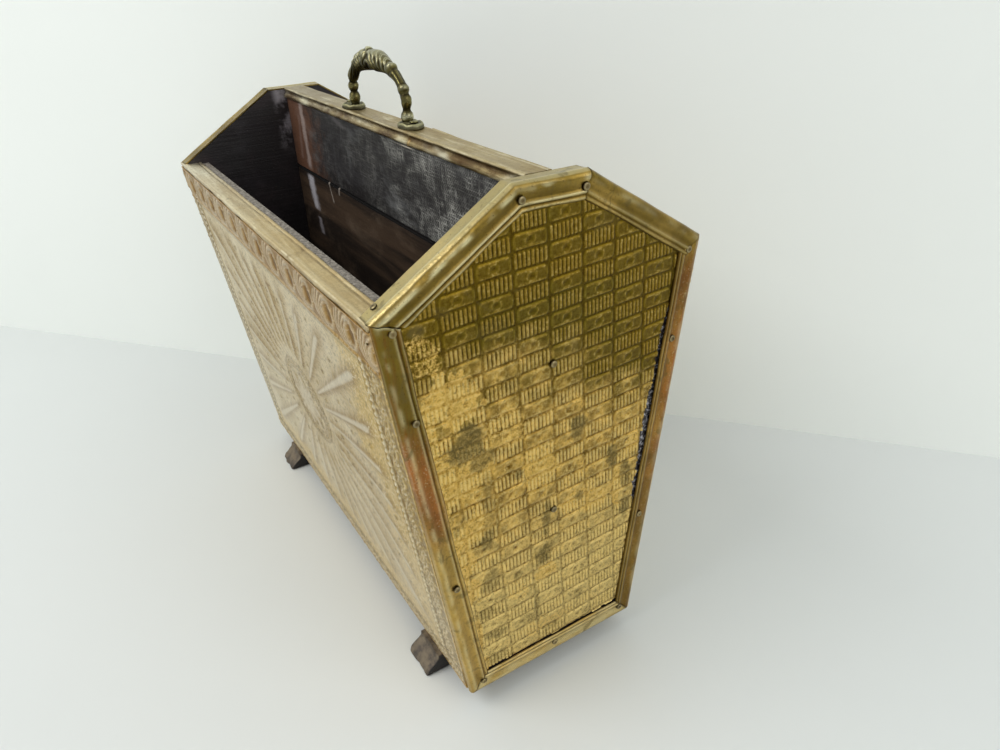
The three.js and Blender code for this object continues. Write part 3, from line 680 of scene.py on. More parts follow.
def basket_relief(column, row, sizes):
    """Height, and dirt with painted shade, of the pattern, each 0 to 1. In every other block stand upright
    bars, a sine drawn up to a blunt top and rounded off at both ends, with dirt and painted shadow between
    them. The rest hold a plate with rounded corners: a thin lip round its edge, a sunk field, and a ring
    round a hole. Dirt and painted shade lie on the sunk field, between the blocks and in the hole."""
    across, down = column - np.round(column), row - np.round(row)
    plated = (np.round(column) + np.round(row)) % 2 == 0
    bar = np.abs(np.sin(math.pi * sizes.ribs * (across / BAR_SHARE + 0.5))) ** 0.6
    tall = (1 - ease(np.abs(down) + 0.03 * (1 - bar), 0.38, 0.45)) * (np.abs(across) < BAR_SHARE / 2)
    past_x = np.abs(across) * sizes.cell_width - (PLATE_HALF[0] - PLATE_CORNER)
    past_y = np.abs(down) * sizes.cell_height - (PLATE_HALF[1] - PLATE_CORNER)
    outside = np.hypot(np.maximum(past_x, 0.0), np.maximum(past_y, 0.0))
    outside += np.minimum(np.maximum(past_x, past_y), 0.0)
    edge = PLATE_CORNER - outside
    reach = np.hypot(across * sizes.cell_width / 1.2, down * sizes.cell_height)
    field = 0.45 * ease_mm(edge, -0.1, 0.5) * ease_mm(reach, 1.1, 1.9)
    lip = bump_mm(edge, 0.7, 0.42)
    ring = 0.9 * bump(reach, PLATE_RING, 0.5 * MM)
    sunk = ease_mm(edge, 1.0, 1.7) * ease_mm(np.abs(reach - PLATE_RING), 0.4, 1.0)
    # Dirt and painted shade: round the plate, in the hole and on the sunk field, and between and past the
    # bars
    plate_dirt_and_shade = highest(0.8 * ease_mm(-edge, -0.15, 0.15), bump_mm(reach, 0.0, 1.5), 0.55 * sunk)
    bar_dirt_and_shade = np.maximum((1 - bar) ** 1.6, 0.8 * (1 - tall))
    return np.where(plated, highest(field, lip, ring), bar * tall), np.where(plated, plate_dirt_and_shade, bar_dirt_and_shade)


def block_columns(first, last, ribs):
    """Grid places across the blocks: four to each rib, close together in the gaps, and two at a block's
    edges."""
    phases = (np.arange(ribs)[:, None] + np.array([0.0, 0.17, 0.5, 0.83])).ravel() / ribs
    half = BAR_SHARE / 2
    one = np.concatenate([[-0.5, -0.486], phases * BAR_SHARE - half, [half, 0.486]])
    return np.concatenate([block + one for block in range(first, last + 1)])


def block_rows(first, last):
    """Grid places down the blocks: close together where ribs and plates end, wider between."""
    one = np.array([-0.5, -0.46, -0.42, -0.36, -0.23, -0.11, 0.0, 0.11, 0.23, 0.36, 0.42, 0.46])
    return np.concatenate([block + one for block in range(first, last + 1)])


def sheet_kept(y, z):
    """Where an end's sheet is: inside the outline by 8 mm, so that its edge lies under the edging. It ends
    short of the edging along the foot and along a torn stretch of the back edge, each with a ragged
    line."""
    inset = rim_inset(y, z)
    rise = z - BOX_Z
    ragged = 0.5 * MM * rough_noise(y, z, 6, 31) + 0.3 * MM * noise(y, z, 1.5, 36)
    torn = ease_mm(rise, 96, 112) * (1 - ease_mm(rise, 228, 240)) * (y > 0)
    wide = 2.4 * MM + 1.2 * MM * bump_mm(rise, 165, 30)
    side_y = HALF_BASE + (HALF_SHOULDER - HALF_BASE) * rise / (SHOULDER_Z - BOX_Z)
    open_side = (torn > 0.02) & (y > side_y - 14 * MM - torn * (wide + 2 * ragged))
    open_foot = (np.abs(y - 1.5 * MM) < 54 * MM) & (rise < 14 * MM + 1.3 * MM + 1.2 * ragged)
    return (inset > 8 * MM) & ~open_side & ~open_foot


def end_sheet(end, turned, sizes, material):
    """The embossed sheet: a grid in line with the pattern's blocks, cut to its kept part. Each point stands
    out from the sheet's face by the relief, less where it is rubbed, plus slow buckles."""
    column, row = np.meshgrid(block_columns(-5, 4, sizes.ribs), block_rows(-15, 15))
    y, z = pattern_place(column, row, sizes)
    y, z = y + 0.4 * MM * noise(y, z, 26, 21), z + 0.35 * MM * noise(y, z, 22, 23)
    rubbed = patches(y, z, RUBBED, 5)
    pressed = 0.9 + 0.16 * noise(y, z, 17, 3)
    relief, dirt_and_shade = basket_relief(column, row, sizes)
    left = pressed * (1 - 0.65 * rubbed)
    buckle = 0.4 * MM * rough_noise(y, z, 70, 12, 2) + 0.1 * MM * rough_noise(y, z, 9, 15, 2)
    clear = ease(rim_inset(y, z), sizes.edging_width - 0.2 * MM, sizes.edging_width + 1.6 * MM)
    x = SHEET_FACE + (relief * left * sizes.emboss_height + buckle - 0.1 * MM) * clear
    faces = grid_faces(*column.shape)
    faces = faces[sheet_kept(y, z).ravel()[faces].all(axis=1)]
    used, compact = np.unique(faces, return_inverse=True)
    # recess holds the pattern's dirt with its painted shade
    values = {
        "relief": relief.ravel()[used],
        "recess": dirt_and_shade.ravel()[used],
        "rubbed": rubbed.ravel()[used],
        "blotch": patches(y, z, BLOTCHES, 8).ravel()[used],
    }
    points = np.stack([x, y, z], axis=-1).reshape(-1, 3)[used]
    return make_piece(f"{end}_end_sheet_embossed", points, compact.reshape(-1, 4),
                      material, [f"{end}_end_sheet"], facing=(1, 0, 0), values=values, turned=turned,
                      crease=75)


def end_sheet_material(colours):
    """Embossed brass: olive in the upper part and gold below a ragged slanting line, paler towards the
    foot, with a fine grain of light and dark all over, dirt round the pattern, flaking rubbed places and
    dark spots. The upper olive is partly tarnish and partly a painted reflection of darker surroundings,
    the paler foot is a painted reflection of the floor, the dirt round the pattern carries painted shade,
    and the light crests and the glints of the light grain are painted highlights."""
    coat = Coat("Embossed end brass")
    worn = coat.group("Patina", Size=1, Blotches=0.3)
    height = coat.axis("Z")
    drift = coat.times(coat.minus(coat.random(17, 6, 0.65), 0.5), 0.15)
    level = coat.plus(height, coat.times(coat.axis("Y"), 0.28), drift)
    grain = coat.random(480, 5, 0.8)
    light_grain, dark_grain = coat.ramp(grain, 0.5, 0.64), coat.ramp(grain, 0.5, 0.38)
    flaked = coat.plus(coat.own("rubbed"), coat.times(coat.minus(grain, 0.5), 0.7))
    flaked = coat.ramp(flaked, 0.3, 0.42)
    # Olive above a ragged slanting line: partly tarnish, partly a painted reflection of darker surroundings
    tarnish_and_reflection = coat.maths("SUBTRACT", coat.ramp(level, 0.215, 0.255), coat.times(flaked, 0.6), clamp=True)
    upper = coat.mix(worn["Clouds"], colours.olive, colours.olive_green)
    # Painted highlight on the crests, partly rubbed brass
    crest = coat.maths("POWER", coat.own("relief"), 3)
    crest_tone = coat.mix(tarnish_and_reflection, colours.rubbed, colours.olive_rubbed_highlight)
    # Dirt and painted shade round the pattern
    dirt_and_shade = coat.maths("POWER", coat.own("recess"), coat.ramp(tarnish_and_reflection, 0, 1, 2.2, 1))
    dirt_and_shade = coat.times(dirt_and_shade, coat.ramp(flaked, 0, 1, 0.9, 0.4))
    raised = coat.ramp(coat.own("relief"), 0.3, 0.9)
    # Painted glints on the light grain
    glints = coat.times(light_grain, coat.mix(tarnish_and_reflection, (1, 1, 1), coat.times(raised, 0.6)))
    spots = coat.larger(coat.own("blotch"), coat.times(worn["Blotches"], 0.3))
    spots = coat.times(spots, coat.ramp(grain, 0.42, 0.6, 1, 0.6))
    coat.base = coat.mix(coat.ramp(coat.random(120, 6, 0.7), 0.4, 0.6), colours.gold, colours.gold_dull)
    coat.lay(
        # Painted reflection of the floor: paler towards the foot
        (coat.ramp(height, 0.18, 0.05), colours.rubbed, 0.75),
        (tarnish_and_reflection, upper, 1),
        (flaked, colours.gold, 0.7),
        (crest, crest_tone, 0.72),
        (coat.times(dirt_and_shade, coat.ramp(grain, 0.36, 0.56, 1, 0.62)), colours.dirt_and_shade, 1),
        (coat.times(dark_grain, coat.ramp(tarnish_and_reflection, 0, 1, 1, 0.5)), colours.dirt_and_shade, 0.5),
        (glints, colours.rubbed, 0.5),
        (spots, colours.tarnish, 0.9),
        (worn["Specks"], colours.dirt_and_shade, 0.4))
    rough = coat.plus(0.34, coat.times(spots, 0.2), coat.times(dark_grain, 0.1))
    return coat.finish(rough, grain, 0.45 * MM, 0.6)


# The edging's outer line as (inset from the rim, height over the face of the end) in millimetres: up the
# rim leg to a low ridge, round a wide roll to its crest, through the hollow, over a bead, a groove and a
# second bead
EDGING_LINE = (
    (0, -9), (-0.15, -6.6), (-0.35, -5), (-0.62, -4.1), (-0.5, -3), (-0.2, -1.6), (0.5, -0.5), (1.7, 0.25),
    (3, 0.58), (4.2, 0.3), (5.6, -0.3), (7, -0.68), (8.3, -0.62), (9.2, -0.1), (9.8, 0.34), (10.5, 0.3),
    (11.1, -0.2), (11.6, -0.35), (12.1, 0), (12.7, 0.36), (13.3, 0.24), (13.8, -0.25), (14, -0.7),
)


def edging_profile(sizes):
    """Section of the edging as (inset, height over the face), closed: the smooth outer line, and back along
    the underside. Also the number of points on the outer line."""
    line = np.array(EDGING_LINE) * (sizes.edging_width / 14.0, MM)
    rim = END_FACE - RIM_EDGE
    outer = np.concatenate([[(0.0, -rim)], curve_through(line, 2)])
    arris = 1.8 * MM
    inner = rounded((arris, -arris), arris - STRIP, math.pi / 2, math.pi, 5)
    under = np.concatenate([[(sizes.edging_width, -STRIP)], inner, [(STRIP, -rim)]])
    return np.concatenate([outer, under]), len(outer)


def edging_age(kind, rise, run, inset, seed):
    """How an edging strip has aged, as two fields: olive, from 0 for gold, and copper. The slopes are
    olive; the near side is copper in a ragged stretch of its middle and gold below it; the far side is
    copper outside its bead, and less so near the foot; the foot is gold. The crown is the strip bent over
    the top on to the near slope."""
    ragged = rough_noise(run, inset * 3, 26, seed)
    if kind in ("crown", "slope"):
        return 0.62 + 0.3 * ragged, 0.0 * ragged
    if kind == "base":
        return 0.12 + 0.2 * ragged, 0.0 * ragged
    outer = 1 - ease_mm(inset, 8, 12)
    if kind == "near":
        copper = ease_mm(rise, 118, 160) * (1 - ease_mm(rise, 196, 226)) * (0.75 + 0.5 * ragged)
        return ease_mm(rise, 150, 235) + 0.15 * ragged, copper * (0.35 + 0.65 * outer)
    copper = (0.66 + 0.3 * ragged) * (0.25 + 0.75 * outer) * (1 - ease_mm(rise, 255, 279))
    return 0.6 + 0.3 * ragged, copper * (0.35 + 0.65 * ease_mm(rise, 45, 120))


# For each kind of strip: how far its face waves, how dark its hollow is with dirt and painted shade, how
# dirty its ends are, how bright its crests are with a painted highlight, and how streaked it is
EDGING_KINDS = {
    "base": (0.55, 0.15, 0.8, 0.75, 0.0),
    "far": (0.55, 0.2, 0.8, 0.3, 0.6),
    "slope": (0.8, 0.5, 0.8, 0.35, 0.0),
    "crown": (1.15, 0.42, 0.35, 1.0, 0.0),
    "near": (0.55, 0.2, 0.2, 0.45, 1.0),
}


def edging_path(inset, first, edges, cuts):
    """Rings of (y, z) from corner to corner of the outline. A profile point keeps its inset, so each ring
    lies between the mitre planes of its two corners; `cuts` lengthens the ends by that share of the
    inset."""
    rings = []
    for edge in range(edges):
        corner = first + edge
        start, stop = inset_corner(corner, inset), inset_corner(corner + 1, inset)
        along = ALONG[corner % 6]
        if edge == 0:
            start = start + along * (SEAM / 2 - cuts[0] * inset)[:, None]
        if edge == edges - 1:
            stop = stop - along * (SEAM / 2 - cuts[1] * inset)[:, None]
        count = max(4, int(np.linalg.norm(stop[0] - start[0]) / (1.7 * MM)))
        share = np.linspace(0.0, 1.0, count + 1)[(1 if edge else 0):, None, None]
        rings.append(start + (stop - start) * share)
    return np.concatenate(rings)


def edging_marks_shade_and_highlight(kind, run, inset, height, outside, on_face, crumple, seed):
    """Dirt with painted shade, and wear with a painted highlight, of a strip: dirt and painted shade in its
    grooves and its hollow, and over a slope's roll in patches, and dirt at its two ends; a painted highlight
    with some wear on the crumpled ridge of the roll, down the rim leg and on the beads, in patches all over
    the foot's face, and where the near side's cut end stands proud."""
    _, hollow, ends, lit, _ = EDGING_KINDS[kind]
    total = run[-1, 0]
    patchy = 0.5 + 0.5 * rough_noise(run, inset * 2.0, 15, seed + 70)
    # Dirt and painted shade in the grooves and the hollow
    dirt_and_shade = outside * highest(0.85 * bump_mm(inset, 11.5, 0.5), 0.85 * bump_mm(inset, 14.0, 0.45),
                             hollow * bump_mm(inset, 7.2, 1.9))
    # Painted highlight, with some wear, on the crumpled ridge, down the rim leg and on the beads
    ridge = bump_mm(inset, 2.9, 1.3) * outside * np.clip(0.5 + 1.1 * crumple, 0, 1)
    leg = outside * (height < -0.8 * MM) * (0.35 + 0.5 * bump_mm(height, -4.1, 0.6))
    wear_and_highlight = highest(ridge, leg, 0.8 * bump_mm(inset, 10.0, 0.6), 0.5 * bump_mm(inset, 12.8, 0.4))
    if kind == "base":
        wear_and_highlight = np.maximum(wear_and_highlight, 0.8 * on_face * patchy)
    if kind == "near":
        wear_and_highlight = np.maximum(wear_and_highlight, 2.5 * bump_mm(run, 0.3, 0.5) * on_face)
    # On a slope, dirt and painted shade in patches over the roll
    if kind == "slope":
        dirt_and_shade = np.maximum(dirt_and_shade, 0.75 * patchy * bump_mm(inset, 2.5, 4.0) * outside)
    at_end = np.maximum(1 - ease_mm(run, 0.0, 1.4), ease(run, total - 1.4 * MM, total))
    return np.maximum(dirt_and_shade, ends * at_end), wear_and_highlight * lit * outside


def edging_strip(node, kind, first, edges, cuts, sizes, material, turned, seed):
    """The profile carried along its path, with the end that laps over its neighbour lifted. Bent metal is
    uneven: the roll is crumpled, the face waves, the rim leg is squeezed in and out, and the beads
    wander."""
    profile, outer = edging_profile(sizes)
    inset, height = profile[:, 0], profile[:, 1]
    flat = edging_path(inset, first, edges, cuts)
    steps = np.linalg.norm(np.diff(flat[:, 0], axis=0), axis=1)
    run = np.concatenate([[0.0], np.cumsum(steps)])[:, None]
    total = run[-1, 0]
    outside = np.arange(len(inset)) < outer
    on_face = ease_mm(inset, 0.5, 3.0) * outside
    roll = bump_mm(inset, 3.0, 2.6) * outside
    crumple = np.clip(1.2 * rough_noise(run, inset * 1.2, 9, seed + 20, 2), -1.0, 1.0)
    wave = sizes.edging_wave * EDGING_KINDS[kind][0]
    lift = wave * (0.5 * on_face * noise(run, inset * 0.6, 34, seed) + 0.75 * roll * crumple
                   + 0.2 * on_face * rough_noise(run, inset, 6, seed + 40, 2))
    lap = [0.6 * MM if cut > 0.1 else 0.0 for cut in cuts]
    lift = lift + on_face * (lap[0] * (1 - ease_mm(run, 0, 12)) + lap[1] * ease(run, total - 12 * MM, total))
    centre = np.array([0.0, (BOX_Z + APEX_Z) / 2])
    toward = (centre - flat) / np.linalg.norm(centre - flat, axis=-1, keepdims=True)
    squeeze = wave * 0.8 * bump_mm(height, -1.5, 2.5) * outside * noise(run, 0 * run, 13, seed + 60)
    bead_shift = 0.5 * MM * ease_mm(inset, 10, 14) * noise(run, 0 * run, 24, seed + 80)
    flat = flat + toward * (squeeze + bead_shift)[..., None]
    rise = flat[..., 1] - BOX_Z
    olive, copper = edging_age(kind, rise, run, inset, seed + 90)
    recess, crest = edging_marks_shade_and_highlight(kind, run, inset, height, outside, on_face, crumple, seed)
    values = {"olive": olive, "copper": copper, "recess": recess, "crest": crest,
              "streaked": EDGING_KINDS[kind][4] * ease_mm(rise, 90, 230)}
    rings = np.concatenate([(END_FACE + height + lift)[..., None], flat], axis=-1)
    return ring_piece(f"{node}_bent", rings, material, [node], values, 50, turned)


def edging_strips(sizes, material):
    """Five strips on each end. At the front shoulder the side strip runs up over the bent one's cut end; at
    the back shoulder the slope strip runs down over the side's."""
    for end, turned, near, far in ENDS:
        strips = (
            ("base_edging", "base", 0, 1, (0.0, 0.0)),
            (f"{far}_side_edging", "far", 1, 1, (0.0, 0.0)),
            (f"{far}_slope_edging", "slope", 2, 1, (0.42, 0.0)),
            (f"{near}_slope_edging", "crown", 3, 2, (0.0, -0.25)),
            (f"{near}_side_edging", "near", 5, 1, (0.2, 0.0)),
        )
        for index, (name, kind, first, edges, cuts) in enumerate(strips):
            edging_strip(f"{end}_{name}", kind, first, edges, cuts, sizes, material, turned, 100 + 7 * index)


def edging_material(colours):
    """Edging brass between gold and olive, with copper, bright crests and dirt where the strips mark them,
    and brown streaks that run down the sides. The bright crests are a painted highlight, and the dirt
    carries painted shade in the grooves and the hollow."""
    coat = Coat("Edging brass")
    worn = coat.group("Patina", Size=1.3, Blotches=0.35)
    olive, copper = coat.own("olive"), coat.own("copper")
    lumpy = coat.ramp(coat.random(75, 6, 0.7), 0.44, 0.64)
    streaks = coat.ramp(coat.random((330, 330, 26), 4, 0.65, 0.3), 0.46, 0.6)
    fine = coat.ramp(coat.random(420, 4, 0.7), 0.38, 0.66)
    speckled = coat.ramp(coat.random(900, 2, 0.5), 0.6, 0.68)
    coat.base = coat.mix(olive, colours.edging, colours.edging_olive)
    coat.lay(
        (worn["Clouds"], colours.edging_dull, 0.5),
        (coat.times(lumpy, olive), colours.edging_dull, 0.6),
        (coat.times(streaks, coat.own("streaked")), colours.edging_streak, 0.7),
        (copper, coat.mix(worn["Clouds"], colours.copper, colours.copper_dark), 0.85),
        (fine, colours.tarnish, 0.25),
        (coat.times(speckled, copper), colours.edging_light, 0.3),
        # Painted highlight on the crests
        (coat.own("crest"), colours.edging_light, 0.75),
        (worn["Blotches"], colours.tarnish, 0.55),
        # Dirt and painted shade
        (coat.own("recess"), colours.dirt_and_shade, 0.85),
        (worn["Specks"], colours.dirt_and_shade, 0.55))
    rough = coat.plus(0.3, coat.times(worn["Clouds"], 0.14), coat.times(copper, 0.1))
    return coat.finish(rough, worn["Height"], 0.5 * MM, 0.55)


def domed_head(name, material, place, axis, radius, rise, shank, depth, replaced=()):
    """A domed head of this rise whose underside rests at `place`, standing out along `axis`: a flattened
    half ellipse with a rolled edge, on a shank. Its rim and its flattened middle are marked as recesses and
    the ring between them as a crest: a painted reflection, dark in the middle and light on the ring, and
    painted shade round the rim."""
    head = rounded((0.0, 0.18 * rise), (radius, 0.82 * rise), 0.0, math.pi / 2 - 0.12, 7)
    profile = np.concatenate([[(shank, -depth), (shank, 0.0), (radius * 0.96, 0.0)], head])
    up = unit(axis)
    side = unit(np.cross(up, (0.0, 1.0, 0.0) if abs(up[1]) < 0.9 else (1.0, 0.0, 0.0)))
    rings = np.asarray(place) + turned_rings(profile, sides=18) @ np.stack([side, np.cross(up, side), up])
    share = profile[:, 1:] / rise
    # Painted reflection and shade: a dark rim, a light ring and a dimmer middle
    dark = np.maximum(1 - ease(share, 0.15, 0.5), 0.35 * ease(share, 0.94, 1.0))
    values = {"recess": dark, "crest": 0.4 * bump(share, 0.72, 0.16)}
    return ring_piece(name, rings, material, replaced, values, 60)


def end_nails(sizes, material):
    """Each nail of the frame gets a finer head in the same place, on the same side. Beside them, a smaller
    nail stands on each end's sloping rim, close to the near shoulder, and a pin in each long side's
    sheet."""
    rise, shank = 1.1 * MM, 0.7 * MM
    for node in sorted(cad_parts):
        if "_nail" not in node:
            continue
        low, high = box_of(node)
        out = 1.0 if high[0] > 0 else -1.0
        edge = high[0] if out > 0 else low[0]
        place = (edge - out * rise, (low[1] + high[1]) / 2, (low[2] + high[2]) / 2)
        domed_head(f"{node}_domed", material, place, (out, 0, 0), sizes.nail_radius, rise, shank, 9 * MM,
                   [node])
    on_rim = CORNERS[5] - 8.4 * MM * ALONG[4] - 0.15 * MM * INWARD[4]
    on_sheet = SIDE_FOOT + (SIDE_RUN - 9.5 * MM) * SIDE_UP + 2.1 * MM * SIDE_OUT
    on_sheet = on_sheet + (SHEET_HALF - 2.8 * MM, 0, 0)
    for end, turned, near, _ in ENDS:
        way = np.array([-1.0, -1.0, 1.0]) if turned else np.ones(3)
        domed_head(f"{end}_{near}_rim_nail_domed", material, way * (END_FACE - 10.6 * MM, *on_rim),
                   way * (0.0, *-INWARD[4]), 0.9 * sizes.nail_radius, 0.9 * MM, shank, 6 * MM)
        domed_head(f"{near}_sheet_pin_domed", material, way * on_sheet, way * SIDE_OUT, 0.9 * MM, 0.7 * MM,
                   0.4 * MM, 3 * MM)


# ---- Front and back ----

# The sun of a long side: how much wider than high it is drawn, the number of beads round its rosette and the
# radius of their ring, and the radii of the rings of studs between its rays
SUN_OVAL = 1.25
SUN_BEADS = 40
SUN_BEAD_RING = 37.5 * MM
STUD_RINGS = (74 * MM, 112 * MM, 150 * MM)
# The height of the leaf border along the foot, and the radius and spacing of the beads beside the borders
FOOT_BORDER = 20 * MM
BEAD_RADIUS = 1.9 * MM
BEAD_PITCH = 5 * MM


def leaf_frieze(x, t, pitch, band):
    """A row of curling leaves: height, hollow and crest, each 0 to 1. In every pitch a cupped hollow lies
    to one side, and arcs nested about it, cosines of the distance from its heart, fan out over a low oval
    boss."""
    across = x / pitch - np.floor(x / pitch)
    up = 2.0 * t / band - 1.0
    lean = across + 0.05 * up
    boss = dome(((lean - 0.46) / 0.5) ** 2 + (up / 1.08) ** 2)
    reach = np.hypot((lean - 0.74) / 0.62, up / 1.6)
    fan = ease(boss, 0.02, 0.25) * ease(reach, 0.26, 0.34)
    arcs = (0.5 + 0.5 * np.cos(TURN * (reach * 5.4 + 0.1 * np.sin(9.0 * up)))) ** 1.3
    from_cup = np.hypot((lean - 0.73) / 0.15, up / 0.7)
    cup = np.clip(1 - from_cup ** 2, 0.0, 1.0) ** 0.6
    edge = bump(from_cup, 1.18, 0.2)
    height = np.clip(boss * (0.45 + 0.5 * arcs * fan) + 0.4 * edge - 0.6 * cup, 0.0, 1.0)
    hollow = highest(cup, 0.75 * (1 - arcs) ** 1.5 * fan, 0.5 * (1 - ease(boss, 0.0, 0.2)))
    return height, hollow, np.maximum(arcs * fan, 0.8 * edge) * (1 - cup)


def leaf_scroll(s, w):
    """An undulating stem with a leaf in every bend, 0 to 1, at s along the border in pitches and w across
    it from -1 to 1. The stem is a ridge along a sine; the leaves are pointed ovals with a vein and lobed
    edges."""
    stem_at = 0.42 * np.sin(TURN * s)
    stem = bump(w, stem_at, 0.12)
    leaves = np.zeros(np.broadcast(s, w).shape)
    for phase, side in ((0.25, -1.0), (0.75, 1.0)):
        ds = (s - phase) - np.round(s - phase)
        dw = w - side * 0.22
        turn = 0.5 * side
        long_way = (ds * 2.6 * math.cos(turn) + dw * math.sin(turn)) / 1.05
        wide_way = -ds * 2.6 * math.sin(turn) + dw * math.cos(turn)
        room = 0.62 * np.clip(1 - long_way ** 2, 0.0, 1.0) * (0.75 + 0.25 * np.cos(TURN * long_way * 4.0))
        body = dome((wide_way / (room + 1e-4)) ** 2)
        veined = body * (0.5 + 0.5 * np.cos(TURN * (np.abs(wide_way) * 2.2 - long_way * 2.6)))
        leaves = np.maximum(leaves, veined - 0.35 * bump(wide_way, 0.0, 0.05) * (body > 0))
    curls = 0.7 * bump(np.hypot((s * 2 - np.round(s * 2)) * 1.9, np.abs(w) - 0.74), 0.15, 0.07)
    return highest(stem * 0.8, leaves, curls)


def sun_field(x, t, half_width, half_height, rays):
    """The middle of a side: crisp ornament and soft rays, each 0 to 1. The ornament is an oval rosette of two
    rings of petals inside a ring of beads. The rays are raised cosines that widen outwards and end in a
    rounded tip before the frame, and between them stand three rings of studs."""
    reach, angle = np.hypot(x, t * SUN_OVAL), np.arctan2(t * SUN_OVAL, x)
    petals = np.abs(np.cos(4.0 * angle)) ** 0.55
    petal_end = ease(reach, 26 * MM * (0.55 + 0.45 * petals), 31 * MM * (0.6 + 0.4 * petals))
    outer = ease_mm(reach, 9, 12) * (1 - petal_end)
    inner_petals = np.abs(np.sin(4.0 * angle)) ** 0.6
    inner = ease_mm(reach, 4, 6) * (1 - ease(reach, 14 * MM * (0.5 + 0.5 * inner_petals), 18 * MM))
    boss = dome((reach / (7.5 * MM)) ** 2)
    turn = angle / TURN * SUN_BEADS
    beside_bead = (turn - np.round(turn)) * TURN / SUN_BEADS * SUN_BEAD_RING
    beads = dome(((reach - SUN_BEAD_RING) ** 2 + beside_bead ** 2) / (2.3 * MM) ** 2)
    rings = np.maximum(bump_mm(reach, 33.0, 0.9), bump_mm(reach, 42.0, 0.9))
    to_frame = np.minimum(half_width - np.abs(x), half_height - np.abs(t))
    tip = ease_mm(to_frame, 4, 22) * ease_mm(reach, 46, 66)
    soft_rays = (0.5 + 0.5 * np.cos(rays * angle)) ** 2.2 * tip
    beside_ray = angle - (np.floor(angle * rays / TURN) + 0.5) * TURN / rays
    for ring in STUD_RINGS:
        stud = dome(((reach - ring) ** 2 + (beside_ray * reach) ** 2) / (2.6 * MM) ** 2)
        beads = np.maximum(beads, stud * (to_frame > 8 * MM))
    outer = outer * (0.75 + 0.1 * np.cos(16.0 * angle))
    return highest(outer, 0.85 * inner, boss, 0.75 * beads, 0.6 * rings), soft_rays


def side_relief(x, t, sizes):
    """Relief of a long side at x along and t up the slope from the fold: its height, its soft raised parts,
    its hollows and its crests, each 0 to 1. The raised parts take a painted reflection, the hollows dirt and
    painted shade, and the crests, partly rubbed, a painted highlight. A leaf frieze runs along the top, a
    leaf scroll and a row of beads down each side, a narrower scroll along the foot, raised fillets between
    them, and the sun fills the middle."""
    border, frieze, pitch, foot = sizes.border_width, sizes.frieze_height, sizes.frieze_pitch, FOOT_BORDER
    edge, from_top = SHEET_HALF - np.abs(x), SHEET_TOP - t
    in_frieze = ease_mm(from_top, 0.4, 1.4) * (1 - ease(from_top, frieze - MM, frieze))
    leaves, cups, arcs = leaf_frieze(x + 0.2 * pitch, from_top - 0.5 * MM, pitch, frieze - 1.5 * MM)
    wide, low = border - 5 * MM, foot - 3 * MM
    in_side = ease_mm(edge, 1.0, 2.0) * (1 - ease(edge, wide + MM, wide + 2 * MM))
    in_foot = ease_mm(t, 1.0, 2.0) * (1 - ease(t, low + MM, low + 2 * MM)) * (t <= foot)
    side_scroll = leaf_scroll(from_top / (21 * MM), (edge - 1.5 * MM - wide / 2) / (wide / 2))
    foot_scroll = leaf_scroll(x / (25 * MM), (t - 1.5 * MM - low / 2) / (low / 2))
    below = from_top > frieze
    beside, under = below & (t > foot), below & (edge > border)
    middle = below & (edge > border + 2.5 * MM) & (t > foot + 1.5 * MM)
    half_height = (SHEET_TOP - frieze - foot) / 2
    crisp, rays = sun_field(x, t - foot - half_height, SHEET_HALF - border - 2.5 * MM, half_height - 2 * MM,
                            sizes.flutes)
    crisp, rays = crisp * middle, rays * middle
    along = (from_top / BEAD_PITCH - np.round(from_top / BEAD_PITCH)) * BEAD_PITCH
    beads = dome((along ** 2 + (edge - (border - 1.2 * MM)) ** 2) / BEAD_RADIUS ** 2) * beside
    fillets = highest(
        bump(from_top, frieze + 1.4 * MM, 0.8 * MM), bump_mm(from_top, 0.3, 0.6),
        bump(edge, border + 2.6 * MM, 0.8 * MM) * beside, bump(edge, border - 4 * MM, 0.6 * MM) * beside,
        bump(t, foot + MM, 0.8 * MM) * under)
    leafy = np.maximum(side_scroll * in_side * beside, foot_scroll * in_foot * (edge > MM))
    in_border = np.maximum(in_side * beside, in_foot)
    line = bump(from_top, frieze + 4 * MM, 1.6 * MM) * under
    pits = bump(edge, border - 1.2 * MM, BEAD_RADIUS) * (1 - ease(beads, 0.1, 0.5)) * beside
    height = highest(leaves * in_frieze, 0.62 * leafy, 0.7 * beads, 0.7 * crisp, 0.85 * rays, 0.45 * fillets)
    # raised takes a painted reflection, hollow dirt and painted shade, crest a painted highlight
    raised = highest(rays, 0.8 * crisp, 0.7 * fillets, 0.3 * in_border, 0.85 * in_frieze)
    hollow = highest(0.7 * cups * in_frieze, 0.35 * line, 0.45 * (1 - ease(leafy, 0.05, 0.5)) * in_border,
                     0.5 * bump(crisp, 0.25, 0.15) * middle, 0.7 * pits)
    crest = highest(0.62 * arcs * in_frieze, 0.8 * ease(leafy, 0.55, 0.95), beads,
                    0.55 * ease(crisp, 0.6, 0.85), 0.75 * ease(rays, 0.75, 0.98))
    return height, raised, hollow, crest


def graded(start, stop, fine, coarse, zones):
    """Places from start to stop, `fine` apart inside the zones and `coarse` apart elsewhere."""
    places = [start]
    while places[-1] < stop:
        here = places[-1]
        inside = any(low <= here <= high for low, high in zones)
        places.append(min(stop, here + (fine if inside else coarse)))
    return np.array(places)


# How far in from the box's edge the rows of a long side's sheet lie that are folded under it
FOLDED_UNDER = (14 * MM, 9 * MM, 4 * MM, 0.6 * MM)


